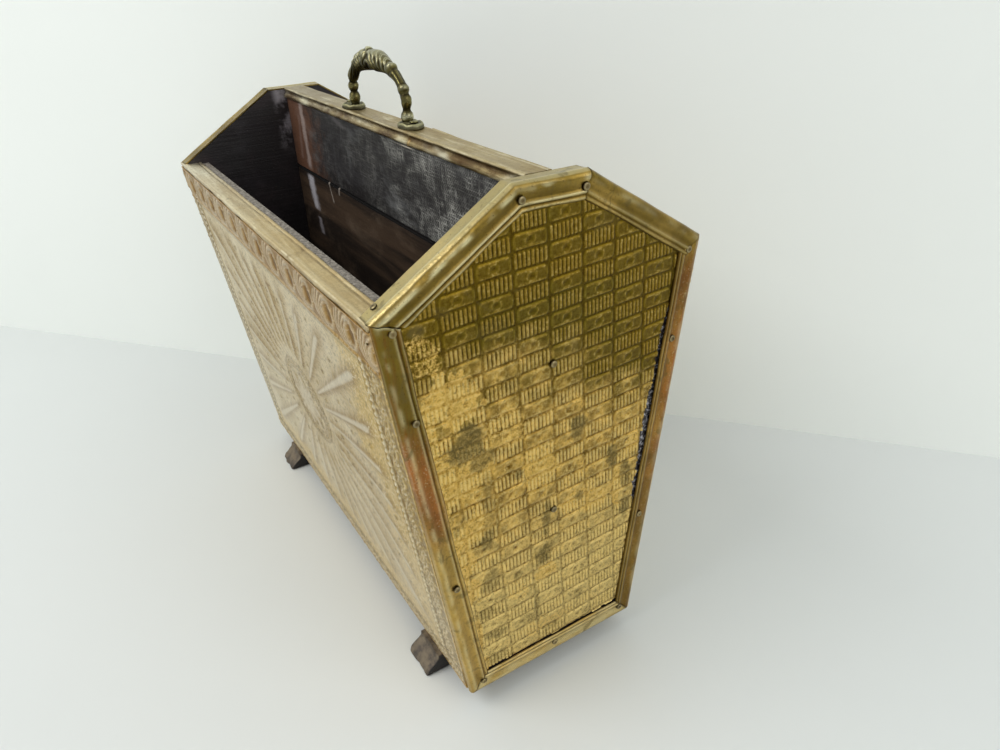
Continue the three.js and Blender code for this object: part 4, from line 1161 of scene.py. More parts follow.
def side_sheet(side, turned, sizes, material, seed):
    """A long side's sheet: a grid along the length and up the slope, each point standing out along the side's
    normal by the relief and by slow buckles. The grid runs on round the fold and back under the box, and over
    its edges for its thickness."""
    border, frieze = sizes.border_width + 4 * MM, sizes.frieze_height + 2 * MM
    in_borders = ((-SHEET_HALF, border - SHEET_HALF), (SHEET_HALF - border, SHEET_HALF))
    x = graded(-SHEET_HALF, SHEET_HALF, 0.8 * MM, 1.2 * MM, in_borders)
    borders = ((0.0, FOOT_BORDER + MM), (SHEET_TOP - frieze, SHEET_TOP))
    t = graded(0.0, SHEET_TOP, 0.72 * MM, 1.3 * MM, borders)
    grid_x, grid_t = np.meshgrid(x, t)
    relief, raised, hollow, crest = side_relief(grid_x, grid_t, sizes)
    hammered = 0.06 * rough_noise(grid_x, grid_t, 5, seed, 3)
    worn = 0.16 * noise(grid_x, grid_t, 60, seed + 5)
    buckle = 0.5 * MM * rough_noise(grid_x, grid_t, 110, seed + 9, 2)
    edge = SHEET_HALF - np.abs(grid_x)
    calm = ease_mm(edge, 0.0, 12) * ease_mm(SHEET_TOP - grid_t, 0.0, 10) * ease_mm(grid_t, 0.0, 12)
    height = (relief * (0.86 + worn) + hammered) * sizes.side_relief
    at_edge = (0.35 + 0.65 * ease_mm(edge, 0.0, 2.0)) * ease_mm(grid_t, 0.0, 2)
    proud = FIT + SHEET + height * at_edge + buckle * calm
    askew = -5 * MM * ease(grid_x, SHEET_HALF - 70 * MM, SHEET_HALF) * (1 - grid_t / SHEET_TOP) ** 0.8
    flat = SIDE_FOOT + (grid_x + askew)[..., None] * np.array([1.0, 0, 0]) + grid_t[..., None] * SIDE_UP
    front = flat + proud[..., None] * SIDE_OUT
    under = np.empty((len(FOLDED_UNDER), len(x), 3))
    under[..., 0] = np.clip(x, -HALF_RUN, HALF_RUN)
    under[..., 1] = np.array(FOLDED_UNDER)[:, None] - HALF_BASE
    under[..., 2] = BOX_Z - 0.05 * MM
    rows = np.concatenate([under, front])
    thick = SHEET * 1.4 * SIDE_OUT
    inner = np.concatenate([under - thick, flat + 0.1 * MM * SIDE_OUT])
    points = np.concatenate([inner[:, :1], rows, inner[:, -1:]], axis=1)
    points = np.concatenate([points, points[-1:] - thick])
    fields = {"recess": hollow, "raised": raised, "crest": crest,
              "edge": 1 - ease_mm(SHEET_HALF - grid_x, 12, 120)}
    values = {}
    for key, field in fields.items():
        whole = np.zeros(points.shape[:2])
        whole[len(FOLDED_UNDER):-1, 1:-1] = field
        values[key] = whole.ravel()
    faces = grid_faces(*points.shape[:2])
    return make_piece(f"{side}_sheet_embossed", points, faces, material,
                      [f"{side}_sheet"], facing=SIDE_OUT, values=values, turned=turned, crease=70)


def side_sheet_material(colours):
    """Pale embossed brass: tan on the raised parts, a painted reflection; brown in the hollows, dirt and
    painted shade; light crests, a painted highlight; a golden grain towards the right end and the foot,
    gold leaves, a gold fold along the foot, and a fine mottling."""
    coat = Coat("Pale embossed brass")
    worn = coat.group("Patina", Size=0.7, Blotches=0.1)
    height = coat.axis("Z")
    grain = coat.random(420, 5, 0.75)
    warm = coat.larger(coat.own("edge"), coat.ramp(height, 0.015, 0.09, 1, 0))
    clouds = coat.minus(coat.random(30, 5, 0.7), 0.5)
    drifting = coat.plus(warm, coat.times(coat.minus(grain, 0.5), 0.9), clouds)
    uneven = coat.ramp(coat.random(90, 4), 0.25, 0.6, 0.6, 1)
    flecks = coat.times(coat.ramp(grain, 0.54, 0.62), coat.ramp(warm, 0.2, 0.8, 0.2, 1))
    leaves = coat.ramp(height, SHOULDER_Z - 30 * MM, SHOULDER_Z - 27 * MM)
    fold = coat.ramp(height, BOX_Z + 9 * MM, BOX_Z + 2 * MM)
    coat.base = coat.mix(worn["Clouds"], colours.pale, colours.pale_dull)
    coat.lay(
        (coat.ramp(drifting, 0.35, 0.7), colours.pale_gold, 0.85),
        # Painted reflection in tan on the raised parts
        (coat.times(coat.own("raised"), uneven), colours.pale_tan, 0.92),
        (coat.ramp(grain, 0.5, 0.36), colours.pale_dark, 0.45),
        (flecks, colours.pale_light, 0.6),
        (coat.ramp(height, 0.17, 0.06), colours.pale_light, 0.3),
        (leaves, colours.pale_leaves, 0.45),
        # Dirt and painted shade in the hollows, and a painted highlight on the crests
        (coat.own("recess"), colours.pale_dark, 0.9),
        (coat.own("crest"), colours.pale_light, 0.75),
        (coat.times(fold, uneven), colours.pale_fold, 0.75),
        (worn["Specks"], colours.pale_dark, 0.3))
    return coat.finish(coat.plus(0.38, coat.times(worn["Clouds"], 0.1)), grain, 0.4 * MM, 0.4)


def top_strip_section():
    """Section of a top strip: the lip down the front, a rounded arris, the flat with a low ridge near its
    outer edge and a hem along the inner one, and the underside."""
    outer, inner = RIM_LOW[1], RIM_HIGH[1]
    top, low = RIM_HIGH[2] - 0.5 * MM, RIM_LOW[2]
    lean = SIDE_UP[1] / SIDE_UP[2]
    radius = 1.1 * MM
    lip = [(outer - (top - low) * lean, low), (outer - 1.2 * MM * lean, top - 1.2 * MM)]
    arris = rounded((outer + radius, top - radius), radius, math.pi, math.pi / 2, 6)
    flat_y = np.linspace(outer + 1.6 * MM, inner - 3.4 * MM, 9)
    flat = np.stack([flat_y, top + 0.28 * MM * bump(flat_y, outer + 3.2 * MM, 0.9 * MM)], axis=1)
    step = [(inner - 2.9 * MM, top - 0.3 * MM), (inner - 2.4 * MM, top - 0.25 * MM)]
    hem = rounded((inner - MM, top - 0.1 * MM), (MM, 0.38 * MM), math.pi, 0.0, 7)
    under = [(inner - 0.1 * MM, top - STRIP), (outer + 1.3 * MM, top - STRIP), (outer + MM, low)]
    return np.concatenate([lip, arris, flat, step, hem, under])


def top_strip(side, turned, material, seed):
    """A top strip with its small dents, a dirty crease across it, its nicked outer arris and its lip's wavy
    edge. A painted highlight runs along the outer arris, broken where it is nicked, and fainter along the
    low ridge; painted shade runs along the lip's lower edge."""
    section = top_strip_section()
    y, z = section[:, 0], section[:, 1]
    x = np.linspace(RIM_LOW[0], RIM_HIGH[0], 220)[:, None]
    dents = 0.22 * MM * noise(x, y * 1.5, 14, seed) + 0.2 * MM * noise(x, 0 * x, 45, seed + 3)
    lip = bump(z, RIM_LOW[2], MM)
    crease = bump_mm(x + 0.4 * (y - RIM_LOW[1]), 84, 2.4) * (z > RIM_HIGH[2] - 1.6 * MM)
    crease = crease * ease(rough_noise(x, y * 4, 5, seed + 17), -0.35, 0.35)
    pressed_in = 0.5 * MM * np.clip(noise(x, 0 * x, 20, seed + 8), 0, 1)
    shift = np.zeros((len(x), len(section), 2))
    shift[..., 0] = 0.15 * MM * noise(x, 0 * x, 30, seed + 11) - lip * pressed_in
    wavy = lip * 0.7 * MM * rough_noise(x, 0 * x, 16, seed + 6)
    shift[..., 1] = dents * 0.6 - 0.35 * MM * crease + wavy
    joint = bump(y, RIM_HIGH[1] - 2.7 * MM, 0.5 * MM) * (z > RIM_HIGH[2] - 1.2 * MM)
    # Painted highlight along the outer arris, broken where it is nicked, and fainter along the low ridge
    nicked_highlight = 0.35 + 0.65 * ease(rough_noise(x, 0 * x, 13, seed + 14), 0.3, 0.8)
    crest = np.maximum(0.8 * nicked_highlight * bump(y, RIM_LOW[1] + 0.7 * MM, 0.6 * MM),
                       0.3 * bump(y, RIM_LOW[1] + 3.2 * MM, 0.8 * MM)) * (z > RIM_LOW[2] + MM)
    # Painted shade along the lip's lower edge; dirt in the joint and the crease
    values = {"recess": highest(0.6 * joint, 0.9 * lip, 0.7 * crease), "crest": crest}
    return ring_piece(f"{side}_top_strip_bent", rings_along_x(section, x, shift), material,
                      [f"{side}_top_strip"], values, 50, turned)


def rim_material(name, tones, colours, streaked):
    """Dull brass of a top strip or of the cap from `tones`: left end, right end and clouds. It is streaked
    along its length, less so on the cap's flat top, with mottled brown dirt in the grooves, painted shade
    along the top strips' lips, and light nicked arrises, a painted highlight."""
    left, right, dull = tones
    coat = Coat(name)
    worn = coat.group("Patina", Size=1.5, Blotches=0.05)
    scratched = coat.group("Scratches")
    grain = coat.random(420, 4, 0.75)
    streaks = coat.random((16, 190, 190), 5, 0.65, 0.4)
    level = coat.ramp(coat.axis("Z"), CAP_HIGH[2] - 3 * MM, CAP_HIGH[2] - 1.5 * MM, 1, 0.35)
    lumps = coat.ramp(coat.random((60, 130, 130), 5, 0.65, 0.6), 0.36, 0.6, 0.15, 1)
    coat.base = coat.mix(coat.ramp(coat.axis("X"), -0.17, 0.05), left, right)
    coat.lay(
        (coat.times(coat.ramp(streaks, 0.42, 0.6), level), dull, streaked),
        (worn["Clouds"], dull, 0.25),
        (coat.ramp(grain, 0.5, 0.36), dull, 0.45),
        (coat.ramp(streaks, 0.46, 0.36), colours.rim_light, 0.5 * streaked),
        (scratched["Mask"], colours.rim_light, 0.25),
        # Painted highlight on the arrises; below, painted shade along the lips with dirt in the grooves
        (coat.own("crest"), colours.rim_light, 0.8),
        (coat.times(coat.own("recess"), lumps), colours.rim_dark, 0.9),
        (worn["Blotches"], colours.rim_dark, 0.35),
        (worn["Specks"], colours.rim_dark, 0.35))
    height = coat.plus(grain, coat.times(scratched["Height"], 0.5))
    return coat.finish(coat.plus(0.36, coat.times(worn["Clouds"], 0.14)), height, 0.4 * MM, 0.45)


# ---- Divider cap, handle, feet ----

# The divider cap: half its width and its channel's, the lap in its metal, and its dents, each as the place
# along it, how far below its top, how wide and how deep
CAP_HALF = 8.8 * MM
CAP_CHANNEL = 7.6 * MM
LAP_X = 57.5 * MM
CAP_DENTS = np.array([(-69, 4, 4, 0.9), (-51, 5, 3, 0.7), (97, 4, 6, 0.5)]) * MM


def cap_section():
    """Section of the divider cap: a flat top with two faint ridges, rounded arrises, a side with a wide
    sloping groove between two mouldings, a flared lower edge, and the inside of the channel."""
    half, flare = CAP_HALF, CAP_HIGH[1]
    top, low = CAP_HIGH[2], CAP_LOW[2]
    lower_edge = np.array((flare, low)) + np.array([(-0.2, 0.0), (0.0, 0.7), (-0.1, 2.2)]) * MM
    side = np.array((half, low)) + MM * np.array([
        (-0.3, 3.1), (-0.75, 3.9), (-0.85, 4.9), (-0.6, 5.7), (-0.1, 6.4), (0.0, 6.8)])
    arris = rounded((half - 1.2 * MM, top - 1.2 * MM), 1.2 * MM, 0.0, math.pi / 2, 6)
    flat_y = np.linspace(half - 2.2 * MM, 0.0, 7)
    ridge = 0.22 * MM * bump(flat_y, half - 3.8 * MM, 0.8 * MM)
    flat = np.stack([flat_y, top - 0.3 * MM * ease_mm(half - 2 * MM - flat_y, 0.0, 1.2) + ridge], axis=1)
    right = np.concatenate([lower_edge, side, arris, flat])
    left = right[::-1][1:] * (-1.0, 1.0)
    roof = top - STRIP
    inside = [(-CAP_CHANNEL, low), (-CAP_CHANNEL, roof), (CAP_CHANNEL, roof), (CAP_CHANNEL, low)]
    return np.concatenate([right, left, inside])


def divider_cap(material):
    """The cap, dented along its arrises, creased across its top, and lapped once near the handle's right
    foot: the metal right of the lap stands proud by its thickness, easing back down."""
    section = cap_section()
    y, z = section[:, 0], section[:, 1]
    at_lap = LAP_X + np.array([-0.9, -0.5, -0.12, 0.12, 0.5, 0.9, 1.4, 2.0]) * MM
    x = np.unique(np.concatenate([np.linspace(CAP_LOW[0], CAP_HIGH[0], 230), at_lap]))[:, None]
    top, low, way = CAP_HIGH[2], CAP_LOW[2], np.sign(y)
    outward = np.abs(y) > CAP_CHANNEL + 0.05 * MM
    on_arris = bump_mm(np.abs(y), 8.3, 1.2) * ease(z, top - 2.5 * MM, top - 0.5 * MM)
    crease = np.clip(noise(x, y * 0.5, 11, 71) - 0.25, 0, 1)
    dents = sum(deep * bump(np.hypot(x - at, z - top + drop), 0.0, wide)
                for at, drop, wide, deep in CAP_DENTS)
    lap = 0.45 * MM * (x > LAP_X) * (1 - ease(x, LAP_X, LAP_X + 45 * MM)) * outward
    lip = 0.9 * MM * bump(x, LAP_X + 0.9 * MM, 0.8 * MM) * ease_mm(top - z, 1.0, 3.0) * outward
    down = 0.12 * MM * noise(x, y, 24, 74) - 0.35 * MM * on_arris * crease + lap * (np.abs(y) < 8.2 * MM)
    worn_in = 0.4 * MM * on_arris * np.clip(noise(x, way * 0.1, 17, 76), 0, 1)
    wavy = 0.25 * MM * bump(z, low, 2 * MM) * noise(x, way * 0.2, 22, 78)
    out = way * (wavy - worn_in + lap + lip - dents * outward)
    out = np.where(outward, way * np.maximum(np.abs(y + out), CAP_CHANNEL + 0.25 * MM) - y, out)
    rings = rings_along_x(section, x, np.stack([out, down], axis=-1))
    drift = 0.9 * MM * rough_noise(x, 0 * x, 16, 83)
    groove = 0.8 * ease(z + drift, low + 1.8 * MM, low + 4 * MM)
    groove = groove * (1 - ease(z, low + 5.6 * MM, low + 6.6 * MM)) * outward
    seam = bump(x, LAP_X - 0.4 * MM, 0.5 * MM) * outward
    patchy = rough_noise(x, z * 2.0 + way * 0.3, 17, 85) * outward * (z < top - 1.6 * MM)
    # Painted highlight along the top arrises and the lower flange; the dark in the groove is dirt
    crest = 0.5 * bump(z, top - 0.6 * MM, 0.5 * MM) * (np.abs(y) > 7.4 * MM)
    crest = crest + 0.35 * bump(z, low + 1.2 * MM, 0.6 * MM) * outward
    values = {"recess": highest(groove, seam, 1.5 * patchy),
              "crest": crest * (0.5 + rough_noise(x, y, 12, 79)) - 0.9 * patchy}
    return ring_piece("divider_cap_pressed", rings, material, ["divider_cap"], values, 55)


# The handle's middle along X, half the span of its legs, and how high the legs and the arch over them rise
HANDLE_X = -3.5 * MM
HANDLE_HALF = 43 * MM
HANDLE_LEG = 13.4 * MM
HANDLE_RISE = 20.8 * MM

# Distance along the handle from its left foot and radius there, in millimetres: two turned swellings, the
# leaf over the crown up to its curled end at 92, the slender neck, the knuckle at 110, a barrel and a
# turned foot
HANDLE_TURNING = (
    (0, 3.1), (2.6, 3.2), (4.2, 3.8), (6.2, 4), (8.2, 3.5), (10, 2.55), (11.6, 3.3), (13.6, 3.85),
    (15.4, 3.4), (16.9, 2.75), (19, 3.5), (22, 4.1), (27.7, 3.95), (31.1, 4.05), (34.4, 4.45),
    (37.8, 5), (41.4, 5.65), (45.4, 6), (49.2, 6.4), (53.3, 6.65), (57.5, 6.7), (61.6, 6.5),
    (65.5, 6.3), (69.1, 6.3), (72.5, 6.35), (75.6, 6.05), (78.5, 5.6), (81.2, 5.25), (83.7, 4.8),
    (87, 4.3), (90.4, 4), (92.6, 3.9), (94.6, 3.7), (96.5, 3.6), (98, 3.4), (100.5, 3.2), (102.8, 3.1),
    (105.1, 3.2), (107.4, 3.3), (109.1, 3.5), (110.6, 3.5), (112, 3.2), (114.5, 3.6), (117.2, 3.8),
    (119.2, 3.3), (121, 2.55), (122.4, 2.65), (123.8, 3.6), (125.9, 4.1), (128, 3.7), (130.1, 3.1),
)


def handle_line(count):
    """Centre line of the handle at even steps of its length: two short straight legs and a half ellipse
    between them. Returns the points, the unit tangents and the distances."""
    arch = rounded((0.0, HANDLE_LEG), (HANDLE_HALF, HANDLE_RISE), math.pi, 0.0, 2001)
    flat = np.concatenate([[(-HANDLE_HALF, 0.0)], arch, [(HANDLE_HALF, 0.0)]])
    line = np.stack([HANDLE_X + flat[:, 0], np.zeros(len(flat)), HANDLE_Z + 1.5 * MM + flat[:, 1]], axis=1)
    run = np.concatenate([[0.0], np.cumsum(np.linalg.norm(np.diff(line, axis=0), axis=1))])
    even = np.linspace(0.0, run[-1], count)
    points = np.stack([np.interp(even, run, line[:, k]) for k in range(3)], axis=1)
    tangents = np.gradient(points, axis=0)
    tangents /= np.linalg.norm(tangents, axis=1)[:, None]
    return points, tangents, even / MM


# Along the handle, in millimetres: the narrow places between its swellings and how wide they are, the leaf's
# curled tips with their width and height, and the notches before them
HANDLE_NECKS = (
    (2.0, 1.4), (10.0, 1.7), (17.0, 1.6), (94.9, 1.6), (107.2, 0.9), (113.2, 1.2), (121.6, 1.9), (129.0, 1.3))
LEAF_TIPS = ((20.4, 6.0, 1.1), (30.6, 6.5, 1.5), (40.4, 6.0, 1.3), (48.6, 4.5, 0.8))
LEAF_NOTCHES = (18.8, 29.0, 38.8, 47.0, 60.6)


def handle_surface(run, angle):
    """Radius of the casting and its recesses and crests, at a distance along it and an angle round it from
    the top. The turned radius carries a leaf over the crown: narrow folds hang down both sides at even
    steps of the distance, upright on the left and leaning on the broad right lobe, with finer strands
    between them. Curled tips stand out along the left shoulder, a peak over the crown and a scroll at the
    leaf's right end; the neck beyond it is fluted, and a knuckle stands out below that. The recesses, among
    them the necks and the leaf's underside, are painted shade, and the crests, on the upper side only, a
    painted highlight."""
    table = curve_through(HANDLE_TURNING, 6)
    radius = np.interp(run, table[:, 0], table[:, 1])
    up, round_it = np.cos(angle), np.abs(np.angle(np.exp(1j * angle)))
    leaf = ease(run, 17.5, 23.0) * (1 - ease(run, 90.5, 92.0))
    down = round_it * radius
    right = ease(run, 54.0, 66.0)
    lower = 1 - ease(run, 33.0, 41.0)
    strand = (run - (0.12 + 0.75 * right) * down + 0.5 * np.sin(0.9 * down)) / (4.6 + 0.8 * right)
    strand = strand + lower * (1.15 * round_it + 0.09 * (run - 30.0) - strand)
    groove = bump(strand, np.round(strand), 0.24)
    fine = 0.5 - 0.5 * np.cos(TURN * strand * 3.0 + 0.6)
    depth = (1.6 - 0.45 * right) * np.maximum(ease(down, 0.4 + 3.2 * right, 2.6 + 4.4 * right), 0.8 * lower)
    tips = sum(high * ease(run, at - 1.1, at) * (1 - ease(run, at + 0.6, at + wide))
               for at, wide, high in LEAF_TIPS)
    tips = tips * bump(round_it, 0.1, 0.85)
    curl = (1.6 * bump(run, 56.6, 3.4) * bump(round_it, 0.0, 0.8)
            - 0.7 * bump(run, 60.6, 1.2) * bump(round_it, 0.0, 1.2))
    lobe = 0.7 * bump(run, 71.0, 7.0) * bump(round_it, 0.0, 1.1)
    scroll = bump(run, 91.2, 1.4) * ease(up, 0.2, 0.95) - 0.7 * bump(run, 94.4, 1.2) * ease(up, -0.4, 0.4)
    behind = 0.35 * bump(run, 87.2, 1.3) * ease(up, -0.4, 0.5)
    flutes = 0.3 * (0.5 - 0.5 * np.cos(7.0 * angle)) * ease(run, 94.0, 97.0) * (1 - ease(run, 106.0, 108.0))
    knuckle = (0.5 * bump(run, 109.4, 1.3) * ease(up, 0.0, 0.95)
               - 0.6 * bump(run, 112.6, 1.1) * ease(up, -0.6, 0.6))
    scooped = bump(run, 117.0, 2.6) * bump(round_it, 1.9, 0.55)
    pitted = 0.09 * rough_noise(run * 0.5 * MM, angle * 1.6 * MM, 0.8, 55)
    # The leaf's underside: painted shade, and shallower folds
    under = leaf * bump(round_it, math.pi, 0.9)
    folded = leaf * (depth * groove + 0.22 * fine * ease(depth, 0.2, 0.9)) * (1 - 0.7 * under)
    shaped = radius - folded + leaf * (curl + tips + lobe) + scroll - behind - flutes + knuckle
    shaped = shaped - scooped + pitted
    necks = sum(bump(run, at, wide) for at, wide in HANDLE_NECKS)
    notches = sum(bump(run, at, 0.9) for at in LEAF_NOTCHES) * bump(round_it, 0.3, 1.1)
    # Painted shade in the folds, necks, flutes, notches and under the leaf
    recess = highest(leaf * groove * ease(depth, 0.1, 0.8), 0.9 * np.clip(necks, 0, 1), flutes / 0.32,
                     1.1 * scooped, behind, 0.9 * np.clip(notches, 0, 1), 0.6 * under,
                     leaf * 0.45 * fine * ease(depth, 0.2, 0.9))
    # Painted highlight on the crests, on the upper side only
    crest = highest(0.95 * leaf * (1 - groove) ** 2 * (1 - fine), leaf * np.clip(curl + tips, 0, 1),
                    0.6 * np.clip(scroll, 0, 1), 0.6 * leaf * lobe, 0.6 * np.clip(knuckle, 0, 1),
                    bump(run, 6.0, 1.5), bump(run, 13.6, 1.2), bump(run, 125.9, 1.7))
    return shaped * MM, recess, crest * ease(up, -0.6, 0.7)


def handle_casting(material):
    """The arch: rings about the centre line, with the radius of handle_surface."""
    count, sides = 560, 80
    line, tangents, run = handle_line(count)
    angle = np.arange(sides) * TURN / sides
    radius, recess, crest = handle_surface(run[:, None], angle)
    outward = np.stack([-tangents[:, 2], np.zeros(count), tangents[:, 0]], axis=1)
    rings = line[:, None, :] + (radius * np.cos(angle))[..., None] * outward[:, None, :]
    rings[..., 1] += radius * np.sin(angle)
    return ring_piece("handle_arch_cast", rings, material, ["handle"],
                      {"recess": recess, "crest": crest}, 80)


# A flange of the handle: its radii along and across the rack, how far its middle lies beyond its leg's, and
# its section as (share of the radius, height in millimetres)
FLANGE_RADII = (11 * MM, 7.8 * MM)
FLANGE_BEYOND = 4 * MM
FLANGE_SECTION = ((0.02, 0), (1, 0), (1, 1.3), (0.97, 2.1), (0.92, 2.6), (0.86, 2.8), (0.78, 2.5),
                  (0.66, 2.35), (0.5, 2.5), (0.3, 2.7), (0.1, 2.8))


def handle_flange(end, sign, material):
    """An oval flange: a disc drawn out along X, rough cast and uneven in outline, with a raised lip round its
    edge and a low boss under the screw."""
    profile = np.array(FLANGE_SECTION) * (1, MM)
    rings = turned_rings(profile, sides=56)
    turn = np.arctan2(rings[..., 1], rings[..., 0])
    wobble = 1.0 + 0.035 * np.cos(3 * turn + sign) + 0.02 * np.cos(7 * turn)
    x, y = FLANGE_RADII[0] * wobble * rings[..., 0], FLANGE_RADII[1] * wobble * rings[..., 1]
    on_top = rings[..., 2] > MM
    boss = 0.7 * MM * (1 - ease_mm(np.hypot(x - sign * 5 * MM, y), 2.5, 4.6))
    z = rings[..., 2] + (0.45 * MM * rough_noise(x, y, 3, 61) + boss) * on_top
    rings = np.stack([x + HANDLE_X + sign * (HANDLE_HALF + FLANGE_BEYOND), y, z + HANDLE_Z], axis=-1)
    share, height = profile[:, :1], profile[:, 1:]
    # Painted shade inside the lip and round the foot, and a painted highlight on the lip
    values = {"recess": 0.85 * bump(share, 0.7, 0.13) * (height > MM) + 0.6 * (height < 1.6 * MM),
              "crest": bump(share, 0.88, 0.06) * (height > 2 * MM)}
    return ring_piece(f"{end}_handle_flange_cast", rings, material, ["handle"], values, 60)


# A runner's middle along X and half its width
RUNNER_X = 146 * MM
RUNNER_HALF = 14 * MM


def runner_section():
    """Outline of a runner in (y, z): flat above and below, each end a cubic that sweeps down and out to the
    floor."""
    floor, top = FOOT_HIGH[1], HALF_BASE + 4.6 * MM
    height = FOOT_HIGH[2]
    t = np.linspace(0.0, 1.0, 12)[:, None]
    ends = np.array([(floor, 0.0), (floor, height * 0.5), (top, height * 0.5), (top, height)])
    weights = np.concatenate([(1 - t) ** 3, 3 * t * (1 - t) ** 2, 3 * t ** 2 * (1 - t), t ** 3], axis=1)
    right = weights @ ends
    across = np.linspace(1.0, -1.0, 40)[1:-1, None]
    over, below = across * (top, 0.0) + (0.0, height), across * (-floor, 0.0)
    return np.concatenate([right, over, right[::-1] * (-1.0, 1.0), below])


def runner(end, sign, material, seed, chipped):
    """A cross runner: its outline carried across its width, drawn in at both faces for worn arrises, and
    chipped by noise at the ends. Its two long faces are marked as `side`."""
    section = runner_section()
    half = np.array([0.25, 0.5, 0.75, 0.9, 0.95, 0.985, 1.0])
    share = np.concatenate([-half[::-1], [0.0], half])[:, None]
    draw = MM * (1 - dome(((np.abs(share) - 0.9) / 0.1).clip(0, 1) ** 2))
    y, z = section[:, 0], section[:, 1]
    at_end = ease(np.abs(y), HALF_BASE, HALF_BASE + 4 * MM)
    worn = at_end * chipped * rough_noise(share * RUNNER_HALF, z + np.sign(y) * 0.1, 7, seed)
    new_y = y - np.sign(y) * (draw + np.abs(worn)) * (0.3 + 0.7 * at_end)
    middle = FOOT_HIGH[2] / 2
    new_z = z + np.where(z > middle, -1.0, 0.6) * draw * 0.8 * (np.abs(z - middle) > 0.4 * middle)
    new_z = np.clip(new_z, 0.0, FOOT_HIGH[2])
    x = sign * RUNNER_X + share * RUNNER_HALF
    rings = np.stack(np.broadcast_arrays(x, new_y, new_z), axis=-1)
    return ring_piece(f"{end}_foot_worn", rings, material, [f"{end}_foot"],
                      {"side": ease(np.abs(share), 0.93, 1.0)}, 50)


# ---- Wood ----

# Marks on the boards, as (x, z) where each starts and ends and its half width, in millimetres, its colour and
# how much of it covers the stain
UPPER_MARKS = (
    ((-176, 350), (-170, 270), 50, srgb(104, 70, 50), 0.85),
    ((-153, 338), (-152, 286), 4.5, srgb(176, 160, 152), 0.6),
    ((-162, 324), (-168, 290), 3.0, srgb(130, 108, 98), 0.4),
    ((48, 334.9), (48, 334.2), 13, srgb(214, 204, 184), 0.9),
    ((-100, 340), (-60, 330), 9, srgb(104, 98, 98), 0.4),
)
LOWER_MARKS = (
    ((-155, 274), (-150, 248), 7.0, srgb(196, 192, 196), 0.85),
    ((-147, 239), (-144, 226), 4.0, srgb(156, 150, 154), 0.7),
    ((-112, 285), (-104, 264), 1.5, srgb(172, 160, 148), 0.7),
    ((-86, 282), (-88, 273), 1.2, srgb(172, 160, 148), 0.6),
)
WARM_BLACK = srgb(44, 38, 36)
LOWER_DARK = srgb(40, 32, 26)
SCUFFED = srgb(112, 108, 108)
UPPER_SCUFFED = srgb(132, 132, 130)
LOWER_SCUFFED = srgb(116, 98, 80)
PRINTED_WEAVE = srgb(190, 188, 178)
JOINT_SHADOW = srgb(8, 7, 7)
BARE_EDGE = (srgb(72, 65, 58), srgb(158, 150, 138))
END_BLACK = srgb(26, 20, 22)
END_CLOUDS = srgb(58, 44, 46)
END_SCUFFED = srgb(110, 104, 108)
END_SCALE = srgb(196, 194, 196)
END_RUBBED = srgb(160, 154, 158)
RUNNER_DARK = srgb(70, 60, 50)
RUNNER_SCUFFED = srgb(148, 132, 110)
RUNNER_SIDE_SHADOW = srgb(26, 23, 23)
QUARTER_TURN = (0.0, 0.0, math.pi / 2)


def mark_mask(coat, ragged, start, stop, width):
    """1 within `width` of the line from start to stop, each a pair of millimetres, with a ragged edge."""
    rise, run = (stop[1] - start[1]) * MM, (stop[0] - start[0]) * MM
    share = coat.maths("DIVIDE", coat.minus(coat.axis("Z"), start[1] * MM), rise)
    line = coat.plus(coat.times(share, run), start[0] * MM)
    away = coat.maths("ABSOLUTE", coat.minus(coat.axis("X"), line))
    away = coat.plus(away, coat.times(ragged, (1.5 + 2.6 * width) * MM))
    beside = coat.ramp(away, 0.1 * width * MM, 1.5 * width * MM, 1, 0)
    return coat.times(beside, coat.band(share, 0, 1, 0.12))


def printed_weave(coat, hatched_from):
    """A fine weave printed in clouds, faint left of `hatched_from` and strong right of it: threads both
    ways, and a checker."""
    checker = coat.put("ShaderNodeVectorMath", {0: coat.place, "Scale": 900}, operation="SCALE").outputs[0]
    checker = coat.put("ShaderNodeTexChecker", {"Vector": checker, "Scale": 1}).outputs["Fac"]
    cloudy = coat.ramp(coat.random(24, 6, 0.72, 0.6), 0.42, 0.66)
    printed = coat.ramp(coat.axis("X"), hatched_from - 110 * MM, hatched_from + 45 * MM, 0.15, 1)
    printed = coat.times(printed, coat.plus(coat.times(cloudy, 0.85), 0.15))
    warp = coat.random((1000, 1, 90), 2, 0.6)
    weft = coat.random((90, 1, 1000), 2, 0.6)
    threads = coat.plus(coat.larger(warp, weft), coat.times(checker, 0.08))
    return coat.times(printed, coat.ramp(threads, 0.5, 0.72, 0.1, 1))


